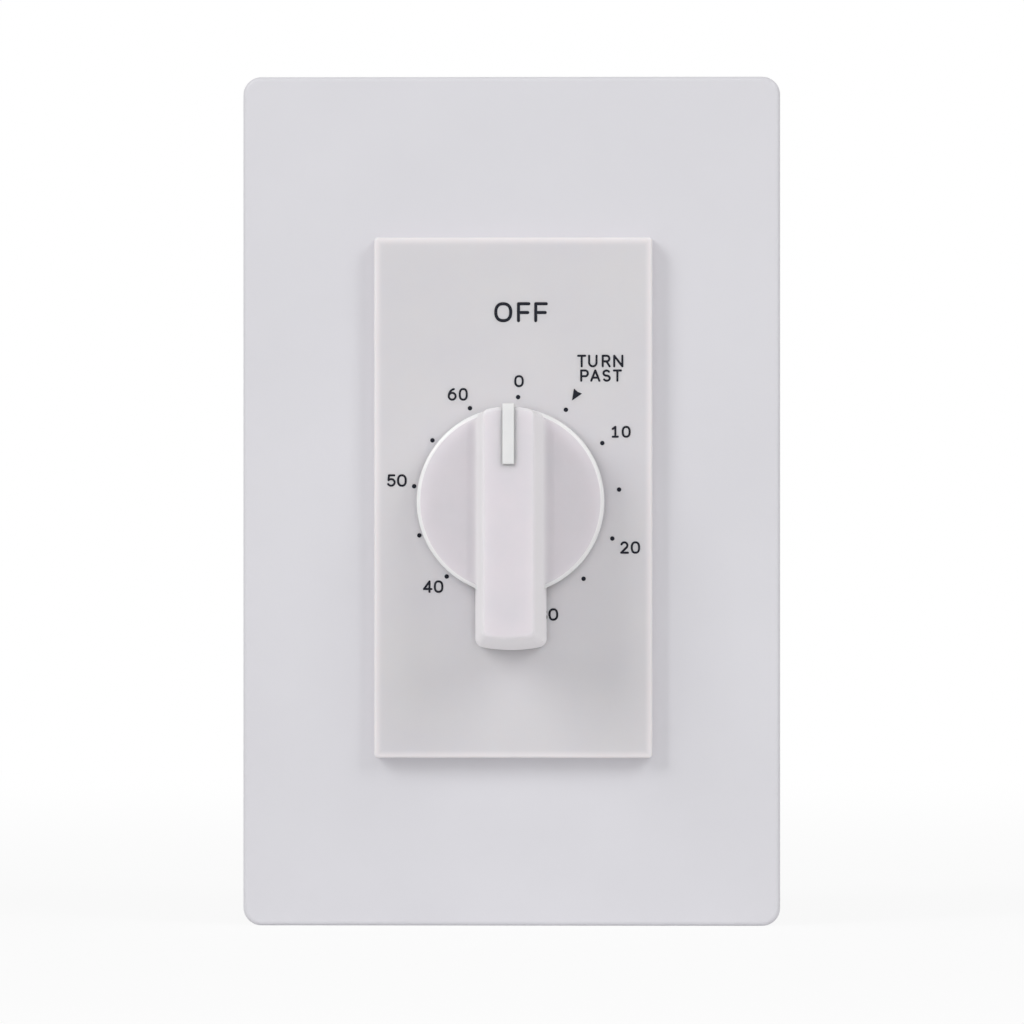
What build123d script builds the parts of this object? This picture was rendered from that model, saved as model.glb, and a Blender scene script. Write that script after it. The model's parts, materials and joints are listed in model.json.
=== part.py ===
from build123d import *
import os
from math import acos, atan2, cos, degrees, pi, radians, sin, sqrt, tan

os.makedirs("parts", exist_ok=True)

# A spring-wound countdown timer switch for one wall box. x runs to the right and z up on
# the wall, and y runs into it, so the front faces -y. The wall's surface is y = 0, and the
# knob turns about the line x = 0, z = 0. Lengths are in millimetres and angles in degrees,
# seen from the front and counted from x towards z.

# Fits and clearances, radial where a pin or screw sits in a hole
shaft_clearance = 0.03
push_clearance = 0.02
thread_clearance = 0.03
screw_clearance = 0.25
moulding_gap = 0.2
overrun = 5.0

# Wall plate, a screwless cover with a rectangular opening
plate_width = 74.9
plate_end_gap = 4.2
plate_depth = 6.6
plate_wall = 1.8
plate_corner_r = 2.5
plate_edge_r = 0.6
opening_width = 33.4
opening_height = 66.9
opening_corner_r = 1.0
snap_bite = 0.5
snap_depth = 0.9
snap_length = 9.0
snap_z = 34.0

# Adapter plate, which the wall plate snaps over
adapter_thick = 1.8
adapter_gap = 0.35
adapter_opening_gap = 0.4
adapter_corner_r = 1.5

# Yoke, the steel strap that carries everything on the box
yoke_thick = 1.5
yoke_end_rise = 11.53
yoke_body_rise = 1.0
yoke_neck_width = 22.0
yoke_ear_width = 42.0
yoke_ear_height = 9.2
yoke_corner_r = 1.5
box_slot_length = 8.0
ground_tab_x = -11.0
ground_tab_drop = 6.6
ground_tab_height = 8.0
ground_tab_reach = 9.0

# Screws: 6-32 into the box and the terminals, 4-40 into the pillars
box_screw_z = 41.67
box_screw_length = 25.4
box_screw_r = 1.75
box_neck_r = 1.4
box_neck_length = 2.7
box_head_r = 3.1
box_head_height = 1.7
adapter_screw_rise = 6.75
adapter_head_r = 2.9
adapter_screw_length = 4.2
adapter_sink_angle = 82
small_screw_r = 1.42
small_head_r = 2.7
small_head_height = 1.5
pillar_grip = 5.0
head_edge_r = 0.35
drive_slot_width = 0.9
drive_slot_depth = 0.7
retainer_r = 4.5
retainer_thick = 0.8
ground_head_r = 3.6
ground_head_height = 2.4
ground_screw_length = 7.0

# Dial plate, a shell with a boss about the arbor and four snap legs
dial_width = 38.7
dial_height = 72.4
dial_depth = 3.0
dial_wall = 1.6
dial_corner_r = 0.5
dial_edge_r = 0.3
dial_shift_x = 0.3
dial_shift_z = 0.5
dial_hole_gap = 0.6
dial_boss_wall = 1.6
leg_x = 7.0
leg_inset = 5.1
leg_width = 5.0
leg_thick = 1.5
leg_bite = 1.0
leg_hook_depth = 1.5
leg_slot_gap = 0.25

# Knob, a hollow disc with a tapered grip across it
knob_gap = 0.5
disc_r = 13.0
disc_rise = 4.3
disc_edge_r = 0.5
grip_rise = 16.3
grip_base_width = 9.9
grip_top_width = 7.15
grip_base_tail_r = 20.7
grip_top_tail_r = 18.9
grip_base_tail_corner_r = 1.2
grip_top_tail_corner_r = 0.9
grip_upper_corner_r = 1.1
grip_rim_step = 0.03
grip_root_r = 0.9
grip_flare_r = 1.7
grip_flare_rise = 2.1
grip_flare_setback = 0.7
grip_edge_r = 0.45
core_corner_r = 0.6
knob_wall = 1.5
knob_hub_r = 4.6
knob_bore_depth = 11.5
pointer_width = 1.65
pointer_inner_z = 5.05
pointer_proud = 0.5
pointer_end_proud = 0.4
pointer_sink = 0.9
pointer_edge_r = 0.2
clip_thick = 0.4
clip_width = 2.6
clip_length = 8.0

# Main arbor and what turns on it
arbor_r = 3.0
arbor_flat = 2.2
arbor_front_inset = 0.8
bushing_r = 4.5
bushing_flange_r = 6.2
bushing_flange_thick = 1.0
turn_range = 360 * 12 / 13
stop_pin_r = 0.7
stop_pin_ring_r = 6.0
stop_gap = 0.12
stop_hub_r = 4.4
stop_finger_r = 7.2
stop_thick = 0.8
ring_r = 4.2
ring_groove_depth = 0.6
ring_thick = 0.6
ring_opening_angle = 70

# Case: a front cover and a rear cup behind the yoke
case_side_gap = 0.82
case_end_gap = 1.25
case_front_thick = 3.0
switch_room = 10.9
case_wall = 2.0
case_corner_r = 2.0
case_edge_r = 0.8
screw_recess = 1.8
hook_pocket_depth = 2.2
boss_r = 3.2

# Movement: two plates on four pillars
movement_gap = 0.8
movement_plate_thick = 1.2
movement_corner_r = 2.5
pillar_inset = 3.7
pillar_r = 2.4
pivot_r = 0.5
pivot_inset = 0.1
running_gap = 0.3

# Going train, with its teeth about the arbors
pressure_angle = radians(20)
profile_shift_share = 0.5
wheel_tip_share = 0.5
pinion_tip_share = 1.3
root_share = 1.25
gear_backlash = 0.10
great_module = 0.4
second_module = 0.35
third_module = 0.3
great_teeth = 60
train_teeth = 54
pinion_teeth = 9
second_angle = -74
third_angle = -139
escape_angle = 129.4
great_thick = 1.2
train_wheel_thick = 0.8
pinion_overhang = 0.3
second_arbor_r = 0.9
light_arbor_r = 0.8
wheel_hub_r = 2.1
wheel_hub_thick = 1.4
rim_width = 1.5
spoke_width = 1.3
spokes = 4
great_hole_r = 1.9
great_hole_ring_r = 7.6

# Ratchet and click on the great wheel
ratchet_r = 5.5
ratchet_root_r = 4.7
ratchet_teeth = 18
ratchet_thick = 1.0
ratchet_gap = 0.2
ratchet_angle = -20
click_ring_r = 9.0
click_pivot_angle = 35
click_boss_r = 1.5
click_elbow_ring_r = 6.5
click_elbow_angle = -12
click_elbow_r = 0.6
click_nose_ring_r = 5.18
click_nose_angle = -16.2
click_nose_r = 0.22
click_stud_r = 0.8
click_stud_head_r = 1.3
click_stud_head_thick = 0.4
click_spring_thick = 0.25
click_spring_foot_r = 0.8
click_spring_foot_ring_r = 10.2
click_spring_foot_angle = -62
click_spring_gap = 0.08

# Mainspring, an open spiral between the arbor and a post
spring_thick = 0.35
spring_height = 5.0
spring_pitch = 0.9
spring_half_turns = 16
spring_bore_gap = 0.15
spring_tab_depth = 1.3
spring_slit_gap = 0.05
post_r = 1.4
post_gap = 0.1
post_front_gap = 0.3

# Escapement
escape_teeth = 26
escape_tip_r = 6.8
escape_root_r = 5.5
escape_tip_half = 0.06
escape_root_half = 0.26
escape_rim_r = 4.6
escape_spoke_width = 1.0
light_hub_r = 1.6
escape_thick = 0.6
verge_half_span = 45
verge_angle = 110
verge_gap = 0.15
verge_thick = 0.8
verge_hub_r = 1.5
verge_shoulder_rise = 1.5
verge_shoulder_r = 0.5
verge_nose_r = 0.08
bar_half_length = 6.0
bar_width = 1.4
bar_weight_r = 1.3
bar_thick = 1.0

# Switch: a cam on the arbor lifts a contact blade
cam_r = 8.0
cam_thick = 2.8
cam_hub_r = 4.5
cam_hub_rise = 1.6
cam_notch_depth = 0.65
cam_notch_half_angle = 13
cam_notch_floor_half_angle = 6
blade_thick = 0.4
blade_width = 4.0
blade_lift_gap = 0.7
blade_bump_half_width = 1.2
blade_bump_gap = 0.12
contact_x = 8.0
contact_r = 1.5
contact_height = 0.9
contact_gap = 0.85
blade_end_gap = 1.6
block_depth_gap = 0.3
block_inner_x = -11.5
block_bottom_z = -1.0
block_boss_gap = 0.7
block_screw_x = -15.0
block_screw_low_z = 2.6
block_screw_high_z = 18.6
terminal_low_z = 5.2
terminal_high_z = 15.8
terminal_size = 8.2
terminal_thick = 1.0
terminal_corner_r = 0.8
terminal_head_r = 3.3
terminal_head_height = 1.8
terminal_screw_length = 4.4
barrier_width = 1.2
barrier_reach = 1.6

# Depths of the pieces, from the front to the back
plate_front_y = -plate_depth
dial_front_y = plate_front_y - dial_depth
knob_back_y = dial_front_y - knob_gap
disc_front_y = dial_front_y - disc_rise
grip_top_y = dial_front_y - grip_rise
yoke_front_y = -yoke_thick
adapter_front_y = yoke_front_y - adapter_thick
front_plate_y = case_front_thick
gear_front_y = front_plate_y + movement_plate_thick
stop_y = gear_front_y + running_gap
great_y = stop_y + stop_thick + movement_gap / 2
ratchet_y = great_y + great_thick + ratchet_gap
spring_y = ratchet_y + ratchet_thick + movement_gap
second_y = spring_y + spring_height + movement_gap / 2
third_y = second_y + train_wheel_thick + movement_gap
escape_y = third_y + train_wheel_thick + movement_gap
back_plate_y = escape_y + escape_thick + movement_gap
switch_y = back_plate_y + movement_plate_thick
cam_hub_y = switch_y + running_gap
cam_y = cam_hub_y + cam_hub_rise
blade_back_y = cam_y + (cam_thick + blade_width) / 2
ring_y = cam_y + cam_thick + pivot_inset
case_floor_y = switch_y + switch_room
case_depth = case_floor_y + case_wall
block_back_y = case_floor_y - block_depth_gap
terminal_y = (switch_y + block_back_y) / 2


def layer(y):
    """The plane this far into the wall, seen from the front: x to the right and z up."""
    return Plane.XZ.offset(-y)


def spot(radius, angle, centre=(0, 0)):
    """The point at this radius and angle about a centre."""
    turn = radians(angle)
    return (centre[0] + radius * cos(turn), centre[1] + radius * sin(turn))


def pair(x, z):
    """One place above the shaft and its mirror image below."""
    return [(x, z), (x, -z)]


def four(x, z):
    """Four places, mirrored both ways about the shaft."""
    return pair(x, z) + pair(-x, z)


def centre_distance(module, teeth):
    """Distance between a wheel's arbor and the next one's."""
    return module * (teeth + pinion_teeth) / 2


second_centre = spot(centre_distance(great_module, great_teeth), second_angle)
third_centre = spot(centre_distance(second_module, train_teeth), third_angle, second_centre)
escape_centre = spot(centre_distance(third_module, train_teeth), escape_angle, third_centre)
verge_reach = escape_tip_r + verge_gap
verge_centre = spot(verge_reach / cos(radians(verge_half_span)), verge_angle, escape_centre)
click_centre = spot(click_ring_r, click_pivot_angle)
pivot_places = [second_centre, third_centre, escape_centre, verge_centre]
spring_end_r = arbor_r + spring_bore_gap + spring_thick / 2 + spring_half_turns * spring_pitch / 2
post_curl_r = post_r + post_gap + spring_thick / 2
post_place = (spring_end_r + post_curl_r, 0)

# Heights and widths on the wall, from the train outwards and from the box screws outwards
shoulder_r = verge_reach + verge_shoulder_rise
train_side_x = verge_shoulder_r - spot(shoulder_r, verge_angle + verge_half_span, escape_centre)[0]
train_low_z = third_module * (train_teeth / 2 + wheel_tip_share) - third_centre[1]
case_width = 2 * (train_side_x + case_side_gap + case_wall)
case_height = 2 * (train_low_z + case_end_gap + case_wall)
pillar_x = case_width / 2 - case_wall - pillar_inset
pillar_z = case_height / 2 - case_wall - pillar_inset
pillar_places = four(pillar_x, pillar_z)
block_top_z = pillar_z - boss_r - block_boss_gap
ground_tab_z = -case_height / 2 - ground_tab_drop
leg_z = opening_height / 2 - leg_inset
adapter_screw_z = box_screw_z + adapter_screw_rise
yoke_height = 2 * (box_screw_z + yoke_end_rise)
plate_height = yoke_height + 2 * (plate_end_gap + plate_wall)
movement_width = case_width - 2 * case_wall - 2 * movement_gap
movement_height = case_height - 2 * case_wall - 2 * movement_gap
block_places = [(block_screw_x, block_screw_low_z), (block_screw_x, block_screw_high_z)]


def d_shape(radius, flat):
    """A circle with one flat, this far above its centre."""
    with BuildSketch() as outline:
        Circle(radius)
        with Locations((0, flat + radius)):
            Rectangle(2 * radius, 2 * radius, mode=Mode.SUBTRACT)
    return outline.sketch


def arbor_bore():
    """The hole of a piece that the main arbor drives."""
    return d_shape(arbor_r + push_clearance, arbor_flat + push_clearance)


def link(start, start_r, end, end_r):
    """A tapered bar round two places."""
    with BuildSketch() as bar:
        with Locations(start):
            Circle(start_r)
        with Locations(end):
            Circle(end_r)
        make_hull()
    return bar.sketch


def turned(centre, sections):
    """A pin turned to a row of sections, each a radius with its front and back depth."""
    with BuildPart() as pin:
        for radius, front_y, back_y in sections:
            with BuildSketch(layer(back_y)):
                with Locations(centre):
                    Circle(radius)
            extrude(amount=back_y - front_y)
    return pin


def screws(places, seat_y, into, head, shank_r, shank_length):
    """Slotted pan-head screws. into is 1 for screws driven into the wall and -1 out of it."""
    head_r, head_height = head
    with BuildPart() as group:
        with BuildSketch(layer(seat_y)):
            with Locations(*places):
                Circle(head_r)
        extrude(amount=into * head_height)
        ends = group.edges().filter_by(GeomType.CIRCLE).group_by(Axis.Y)
        fillet(ends[0 if into > 0 else -1], head_edge_r)
        with BuildSketch(layer(seat_y)):
            with Locations(*places):
                Circle(shank_r)
        extrude(amount=-into * shank_length)
        with BuildSketch(layer(seat_y - into * head_height)):
            with Locations(*places):
                Rectangle(2 * head_r, drive_slot_width)
        extrude(amount=-into * drive_slot_depth, mode=Mode.SUBTRACT)
    return group


def involute(angle):
    """The involute function of a pressure angle in radians."""
    return tan(angle) - angle


def gear_outline(teeth, module, shift_share, tip_share, first_angle):
    """A toothed face with involute flanks. first_angle is the middle of one tooth."""
    pitch_r = module * teeth / 2
    base_r = pitch_r * cos(pressure_angle)
    root_r = pitch_r - module * (root_share - shift_share)
    tip_r = pitch_r + module * tip_share
    start_r = max(root_r, base_r)
    tooth = module * (pi / 2 + 2 * shift_share * tan(pressure_angle)) - gear_backlash / 2
    half_tooth = tooth / (2 * pitch_r) + involute(pressure_angle)

    def flank(radius, side, middle):
        opening = half_tooth - involute(acos(base_r / max(radius, base_r)))
        return spot(radius, middle + side * degrees(opening))

    with BuildSketch() as face:
        with BuildLine():
            for count in range(teeth):
                middle = first_angle + 360 * count / teeth
                after = middle + 360 / teeth
                tips = [flank(tip_r, side, middle) for side in (-1, 1)]
                halfway = (start_r + tip_r) / 2
                starts = [flank(start_r, side, middle) for side in (-1, 1)]
                roots = [flank(root_r, side, middle) for side in (-1, 1)]
                if root_r < start_r:
                    Line(roots[0], starts[0])
                    Line(starts[1], roots[1])
                ThreePointArc(starts[0], flank(halfway, -1, middle), tips[0])
                ThreePointArc(tips[0], spot(tip_r, middle), tips[1])
                ThreePointArc(tips[1], flank(halfway, 1, middle), starts[1])
                between = spot(root_r, (middle + after) / 2)
                ThreePointArc(roots[1], between, flank(root_r, -1, after))
        make_face()
    return face.sketch


def pinion_arbor(centre, module, meet_angle, body_r, wheel_y):
    """An arbor with its pinion cut on it. meet_angle points at the wheel that drives it."""
    ends = (front_plate_y + pivot_inset, switch_y - pivot_inset)
    shoulders = (gear_front_y + running_gap, back_plate_y - running_gap)
    gap_angle = meet_angle + 180 / pinion_teeth
    with BuildPart() as arbor:
        for radius, span in ((pivot_r, ends), (body_r, shoulders)):
            with BuildSketch(layer(span[1])):
                with Locations(centre):
                    Circle(radius)
            extrude(amount=span[1] - span[0])
        back_y = wheel_y[1] + pinion_overhang
        with BuildSketch(layer(back_y)):
            with Locations(centre):
                add(gear_outline(pinion_teeth, module, profile_shift_share, pinion_tip_share, gap_angle))
        extrude(amount=back_y - wheel_y[0] + pinion_overhang)
    return arbor


def train_wheel(centre, module, tooth_angle, front_y, bore_r):
    """A crossed-out brass wheel with its hub. tooth_angle points at the pinion it drives."""
    inner_r = module * train_teeth / 2 - module * (root_share + profile_shift_share) - rim_width
    back_y = front_y + train_wheel_thick
    with BuildPart() as wheel:
        with BuildSketch(layer(back_y)):
            with Locations(centre):
                add(gear_outline(train_teeth, module, -profile_shift_share, wheel_tip_share, tooth_angle))
                Circle(inner_r, mode=Mode.SUBTRACT)
                Circle(wheel_hub_r)
                with PolarLocations(inner_r / 2, spokes):
                    Rectangle(inner_r + rim_width, spoke_width)
        extrude(amount=train_wheel_thick)
        with BuildSketch(layer(front_y + wheel_hub_thick)):
            with Locations(centre):
                Circle(wheel_hub_r)
        extrude(amount=wheel_hub_thick)
        with BuildSketch(layer(front_y + wheel_hub_thick)):
            with Locations(centre):
                Circle(bore_r + push_clearance)
        extrude(amount=wheel_hub_thick, mode=Mode.SUBTRACT)
    return wheel


# Wall plate
inner_width = plate_width - 2 * plate_wall
inner_height = plate_height - 2 * plate_wall
nub_reach = adapter_gap + snap_bite
with BuildPart() as wall_plate:
    with BuildSketch(layer(0)):
        RectangleRounded(plate_width, plate_height, plate_corner_r)
    extrude(amount=plate_depth)
    fillet(wall_plate.faces().sort_by(Axis.Y)[0].edges(), plate_edge_r)
    with BuildSketch(layer(0)):
        RectangleRounded(inner_width, inner_height, plate_corner_r - plate_wall)
    extrude(amount=plate_depth - plate_wall, mode=Mode.SUBTRACT)
    with BuildSketch(layer(0)):
        RectangleRounded(opening_width, opening_height, opening_corner_r)
    extrude(amount=plate_depth, mode=Mode.SUBTRACT)
    with BuildSketch(layer(yoke_front_y + snap_depth)):
        with Locations(*four((inner_width - nub_reach) / 2, snap_z)):
            Rectangle(nub_reach, snap_length)
    extrude(amount=snap_depth)
wall_plate.part.label = "wall_plate"
export_step(wall_plate.part, "parts/wall_plate.step")

# Adapter plate
with BuildPart() as adapter_plate:
    with BuildSketch(layer(yoke_front_y)):
        RectangleRounded(inner_width - 2 * adapter_gap, inner_height - 2 * adapter_gap, adapter_corner_r)
        RectangleRounded(
            opening_width + 2 * adapter_opening_gap,
            opening_height + 2 * adapter_opening_gap,
            opening_corner_r,
            mode=Mode.SUBTRACT,
        )
        with Locations(*pair(0, box_screw_z)):
            Circle(box_head_r + screw_clearance, mode=Mode.SUBTRACT)
        with Locations(*pillar_places):
            Circle(small_head_r + screw_clearance, mode=Mode.SUBTRACT)
    extrude(amount=adapter_thick)
    with Locations(layer(adapter_front_y)):
        with Locations(*pair(0, adapter_screw_z)):
            CounterSinkHole(
                box_screw_r + screw_clearance,
                adapter_head_r + thread_clearance,
                adapter_thick + overrun,
                adapter_sink_angle,
            )
adapter_plate.part.label = "adapter_plate"
export_step(adapter_plate.part, "parts/adapter_plate.step")

# Adapter screws, flat heads flush with the adapter plate
sink_height = (adapter_head_r - box_screw_r) / tan(radians(adapter_sink_angle / 2))
with BuildPart() as adapter_screws:
    for place in pair(0, adapter_screw_z):
        with BuildSketch(layer(adapter_front_y)):
            with Locations(place):
                Circle(adapter_head_r)
        extrude(amount=-sink_height, taper=adapter_sink_angle / 2)
        with BuildSketch(layer(adapter_front_y)):
            with Locations(place):
                Circle(box_screw_r)
        extrude(amount=-(adapter_thick + adapter_screw_length))
        with BuildSketch(layer(adapter_front_y)):
            with Locations(place):
                Rectangle(2 * adapter_head_r, drive_slot_width)
        extrude(amount=-drive_slot_depth, mode=Mode.SUBTRACT)
adapter_screws.part.label = "adapter_screws"
export_step(adapter_screws.part, "parts/adapter_screws.step")

# Yoke, with the ground tab bent back at its lower end
yoke_body_height = case_height + 2 * yoke_body_rise
ear_z = (yoke_height - yoke_ear_height) / 2
tab_hole_y = ground_tab_reach / 2 + yoke_thick / 2
with BuildPart() as yoke:
    with BuildSketch(layer(0)):
        RectangleRounded(case_width, yoke_body_height, yoke_corner_r)
        Rectangle(yoke_neck_width, yoke_height - yoke_ear_height)
        with Locations(*pair(0, ear_z)):
            RectangleRounded(yoke_ear_width, yoke_ear_height, yoke_corner_r)
        Circle(bushing_r + shaft_clearance, mode=Mode.SUBTRACT)
        with Locations(*pair(0, box_screw_z)):
            SlotOverall(box_slot_length, 2 * (box_neck_r + screw_clearance), mode=Mode.SUBTRACT)
        with Locations(*pair(0, adapter_screw_z)):
            Circle(box_screw_r + thread_clearance, mode=Mode.SUBTRACT)
        with Locations(*pillar_places):
            Circle(small_screw_r + screw_clearance, mode=Mode.SUBTRACT)
        with Locations(*four(leg_x, leg_z + leg_bite / 2)):
            Rectangle(
                leg_width + 2 * leg_slot_gap,
                leg_thick + leg_bite + 2 * leg_slot_gap,
                mode=Mode.SUBTRACT,
            )
    extrude(amount=yoke_thick)
    with BuildSketch(layer(ground_tab_reach)):
        with Locations((ground_tab_x + yoke_thick / 2, ground_tab_z)):
            Rectangle(yoke_thick, ground_tab_height)
    extrude(amount=ground_tab_reach + yoke_thick)
    with BuildSketch(Plane.YZ.offset(ground_tab_x)):
        with Locations((tab_hole_y, ground_tab_z)):
            Circle(box_screw_r + thread_clearance)
    extrude(amount=yoke_thick, mode=Mode.SUBTRACT)
yoke.part.label = "yoke"
export_step(yoke.part, "parts/yoke.step")

# Box screws, their necks held by the retainers behind the yoke
with BuildPart() as box_screws:
    add(
        screws(
            pair(0, box_screw_z),
            yoke_front_y,
            1,
            (box_head_r, box_head_height),
            box_neck_r,
            box_neck_length,
        ).part
    )
    with BuildSketch(layer(yoke_front_y + box_neck_length)):
        with Locations(*pair(0, box_screw_z)):
            Circle(box_screw_r)
    extrude(amount=-(box_screw_length - box_neck_length))
box_screws.part.label = "box_screws"
export_step(box_screws.part, "parts/box_screws.step")

# Screw retainers, fibre washers behind the yoke
with BuildPart() as screw_retainers:
    with BuildSketch(layer(retainer_thick)):
        with Locations(*pair(0, box_screw_z)):
            Circle(retainer_r)
            Circle(box_neck_r + thread_clearance, mode=Mode.SUBTRACT)
    extrude(amount=retainer_thick)
screw_retainers.part.label = "screw_retainers"
export_step(screw_retainers.part, "parts/screw_retainers.step")

# Ground screw, a green hexagon head on the yoke's tab
with BuildPart() as ground_screw:
    with BuildSketch(Plane.YZ.offset(ground_tab_x)):
        with Locations((tab_hole_y, ground_tab_z)):
            RegularPolygon(ground_head_r, 6)
    extrude(amount=-ground_head_height)
    with BuildSketch(Plane.YZ.offset(ground_tab_x)):
        with Locations((tab_hole_y, ground_tab_z)):
            Circle(box_screw_r)
    extrude(amount=ground_screw_length)
    with BuildSketch(Plane.YZ.offset(ground_tab_x - ground_head_height)):
        with Locations((tab_hole_y, ground_tab_z)):
            Rectangle(drive_slot_width, 2 * ground_head_r)
    extrude(amount=drive_slot_depth, mode=Mode.SUBTRACT)
ground_screw.part.label = "ground_screw"
export_step(ground_screw.part, "parts/ground_screw.step")

# Dial plate
leg_front_y = plate_front_y - dial_depth + dial_wall
with BuildPart() as dial_plate:
    with BuildSketch(layer(plate_front_y)):
        with Locations((dial_shift_x, dial_shift_z)):
            RectangleRounded(dial_width, dial_height, dial_corner_r)
    extrude(amount=dial_depth)
    fillet(dial_plate.faces().sort_by(Axis.Y)[0].edges(), dial_edge_r)
    with BuildSketch(layer(plate_front_y)):
        with Locations((dial_shift_x, dial_shift_z)):
            Rectangle(dial_width - 2 * dial_wall, dial_height - 2 * dial_wall)
        Circle(arbor_r + dial_hole_gap + dial_boss_wall, mode=Mode.SUBTRACT)
    extrude(amount=dial_depth - dial_wall, mode=Mode.SUBTRACT)
    with BuildSketch(layer(plate_front_y)):
        Circle(arbor_r + dial_hole_gap)
    extrude(amount=dial_depth, mode=Mode.SUBTRACT)
    with BuildSketch(layer(leg_hook_depth)):
        with Locations(*four(leg_x, leg_z)):
            Rectangle(leg_width, leg_thick)
    extrude(amount=leg_hook_depth - leg_front_y)
    for side in (-1, 1):
        for x in (-leg_x, leg_x):
            hook_z = side * (leg_z + leg_thick / 2)
            with BuildSketch(Plane.YZ.offset(x - leg_width / 2)):
                with BuildLine():
                    Polyline(
                        (0, hook_z),
                        (0, hook_z + side * leg_bite),
                        (leg_hook_depth, hook_z),
                        close=True,
                    )
                make_face()
            extrude(amount=leg_width)
dial_plate.part.label = "dial_plate"
export_step(dial_plate.part, "parts/dial_plate.step")


def grip_half_width(y):
    """Half the grip's width at this depth, between its base and its top."""
    share = (y - knob_back_y) / (grip_top_y - knob_back_y)
    return (grip_base_width + share * (grip_top_width - grip_base_width)) / 2


def grip_outline(half, upper_r, upper_corner_r, tail_r, tail_corner_r):
    """The grip's plan: straight sides between two arcs about the shaft, with round corners."""
    with BuildSketch() as plan:
        with BuildLine():
            side_ends = []
            for end_r, corner_r, up in ((upper_r, upper_corner_r, 1), (tail_r, tail_corner_r, -1)):
                corner_x = half - corner_r
                corner = (corner_x, up * sqrt((end_r - corner_r) ** 2 - corner_x**2))
                out = degrees(atan2(corner[1], corner[0]))
                points = [(half, corner[1]), spot(corner_r, out / 2, corner), spot(end_r, out)]
                mirrored = [(-x, z) for x, z in points]
                ThreePointArc(*points)
                ThreePointArc(*mirrored)
                ThreePointArc(points[2], (0, up * end_r), mirrored[2])
                side_ends.append((points[0], mirrored[0]))
            Line(side_ends[0][0], side_ends[1][0])
            Line(side_ends[0][1], side_ends[1][1])
        make_face()
    return plan.sketch


def disc_plan(radius):
    """The disc's outline, drawn out under the tail with a round hollow at each side."""
    with BuildSketch() as plan:
        Circle(radius)
        with Locations((0, -disc_r)):
            Rectangle(2 * grip_half_width(disc_front_y), disc_r)
        hollows = plan.vertices().filter_by_position(Axis.Y, -disc_r, -disc_r / 2)
        fillet(hollows, grip_root_r)
    return plan.sketch


def grip_root():
    """The round flare where the grip's sides meet the disc's front."""
    half = grip_half_width(disc_front_y)
    foot = half + grip_flare_r + disc_edge_r / 2
    rise_y = disc_front_y - grip_flare_rise
    neck = grip_half_width(rise_y) - grip_rim_step
    with BuildPart() as root:
        with BuildSketch(Plane.XY) as section:
            with BuildLine():
                Polyline(
                    (-foot, disc_front_y + disc_edge_r),
                    (foot, disc_front_y + disc_edge_r),
                    (foot, disc_front_y),
                    (half, disc_front_y),
                    (neck, rise_y),
                    (-neck, rise_y),
                    (-half, disc_front_y),
                    (-foot, disc_front_y),
                    close=True,
                )
            make_face()
            corners = section.vertices().group_by(Axis.Y)[1].sort_by(Axis.X)[1:3]
            fillet(corners, grip_flare_r)
        extrude(amount=disc_r, both=True)
        with BuildSketch(layer(disc_front_y + disc_edge_r)):
            add(disc_plan(disc_r - grip_flare_setback))
        extrude(amount=disc_edge_r + grip_flare_rise, mode=Mode.INTERSECT)
    return root.part


def pointer_profile(gap):
    """The pointer strip's L from the side, along the grip's top and down its upper end."""
    end_z = disc_r + pointer_end_proud
    top_y = grip_top_y - pointer_proud
    with BuildSketch() as profile:
        with BuildLine():
            Polyline(
                (top_y - gap, pointer_inner_z - gap),
                (grip_top_y + pointer_sink + gap, pointer_inner_z - gap),
                (grip_top_y + pointer_sink + gap, disc_r - pointer_sink - gap),
                (disc_front_y + gap, disc_r - pointer_sink - gap),
                (disc_front_y + gap, end_z + gap),
                (top_y - gap, end_z + gap),
                close=True,
            )
        make_face()
    return profile.sketch


# Knob, hollow behind, with a hub for the arbor and a groove for the pointer
with BuildPart() as knob_disc:
    with BuildSketch(layer(knob_back_y)):
        add(disc_plan(disc_r))
    extrude(amount=knob_back_y - disc_front_y)
    fillet(knob_disc.faces().sort_by(Axis.Y)[0].edges(), disc_edge_r)

core_top_y = grip_top_y + knob_wall + pointer_sink
with BuildPart() as knob_hollow:
    for y, tail_r in ((knob_back_y, grip_base_tail_r), (core_top_y, grip_top_tail_r)):
        with BuildSketch(layer(y)):
            add(
                grip_outline(
                    grip_half_width(y) - knob_wall,
                    disc_r - knob_wall - pointer_sink,
                    core_corner_r,
                    tail_r - knob_wall,
                    core_corner_r,
                )
            )
    loft(ruled=True)
    with BuildSketch(layer(knob_back_y)):
        Circle(disc_r - knob_wall)
    extrude(amount=knob_back_y - disc_front_y - knob_wall)
    with BuildSketch(layer(knob_back_y)):
        Circle(knob_hub_r)
    extrude(amount=knob_back_y - core_top_y, mode=Mode.SUBTRACT)

with BuildPart() as knob:
    with BuildSketch(layer(knob_back_y)):
        add(
            grip_outline(
                grip_base_width / 2,
                disc_r - grip_rim_step,
                grip_upper_corner_r,
                grip_base_tail_r,
                grip_base_tail_corner_r,
            )
        )
    with BuildSketch(layer(grip_top_y)):
        add(
            grip_outline(
                grip_top_width / 2,
                disc_r - grip_rim_step,
                grip_upper_corner_r,
                grip_top_tail_r,
                grip_top_tail_corner_r,
            )
        )
    loft(ruled=True)
    fillet(knob.faces().sort_by(Axis.Y)[0].edges(), grip_edge_r)
    add(grip_root())
    add(knob_disc.part)
    add(knob_hollow.part, mode=Mode.SUBTRACT)
    with BuildSketch(layer(knob_back_y)):
        add(d_shape(arbor_r + push_clearance, arbor_flat + clip_thick + 2 * push_clearance))
    extrude(amount=knob_bore_depth, mode=Mode.SUBTRACT)
    with BuildSketch(Plane.YZ.offset(-pointer_width / 2 - push_clearance)):
        add(pointer_profile(push_clearance))
    extrude(amount=pointer_width + 2 * push_clearance, mode=Mode.SUBTRACT)
knob.part.label = "knob"
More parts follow.
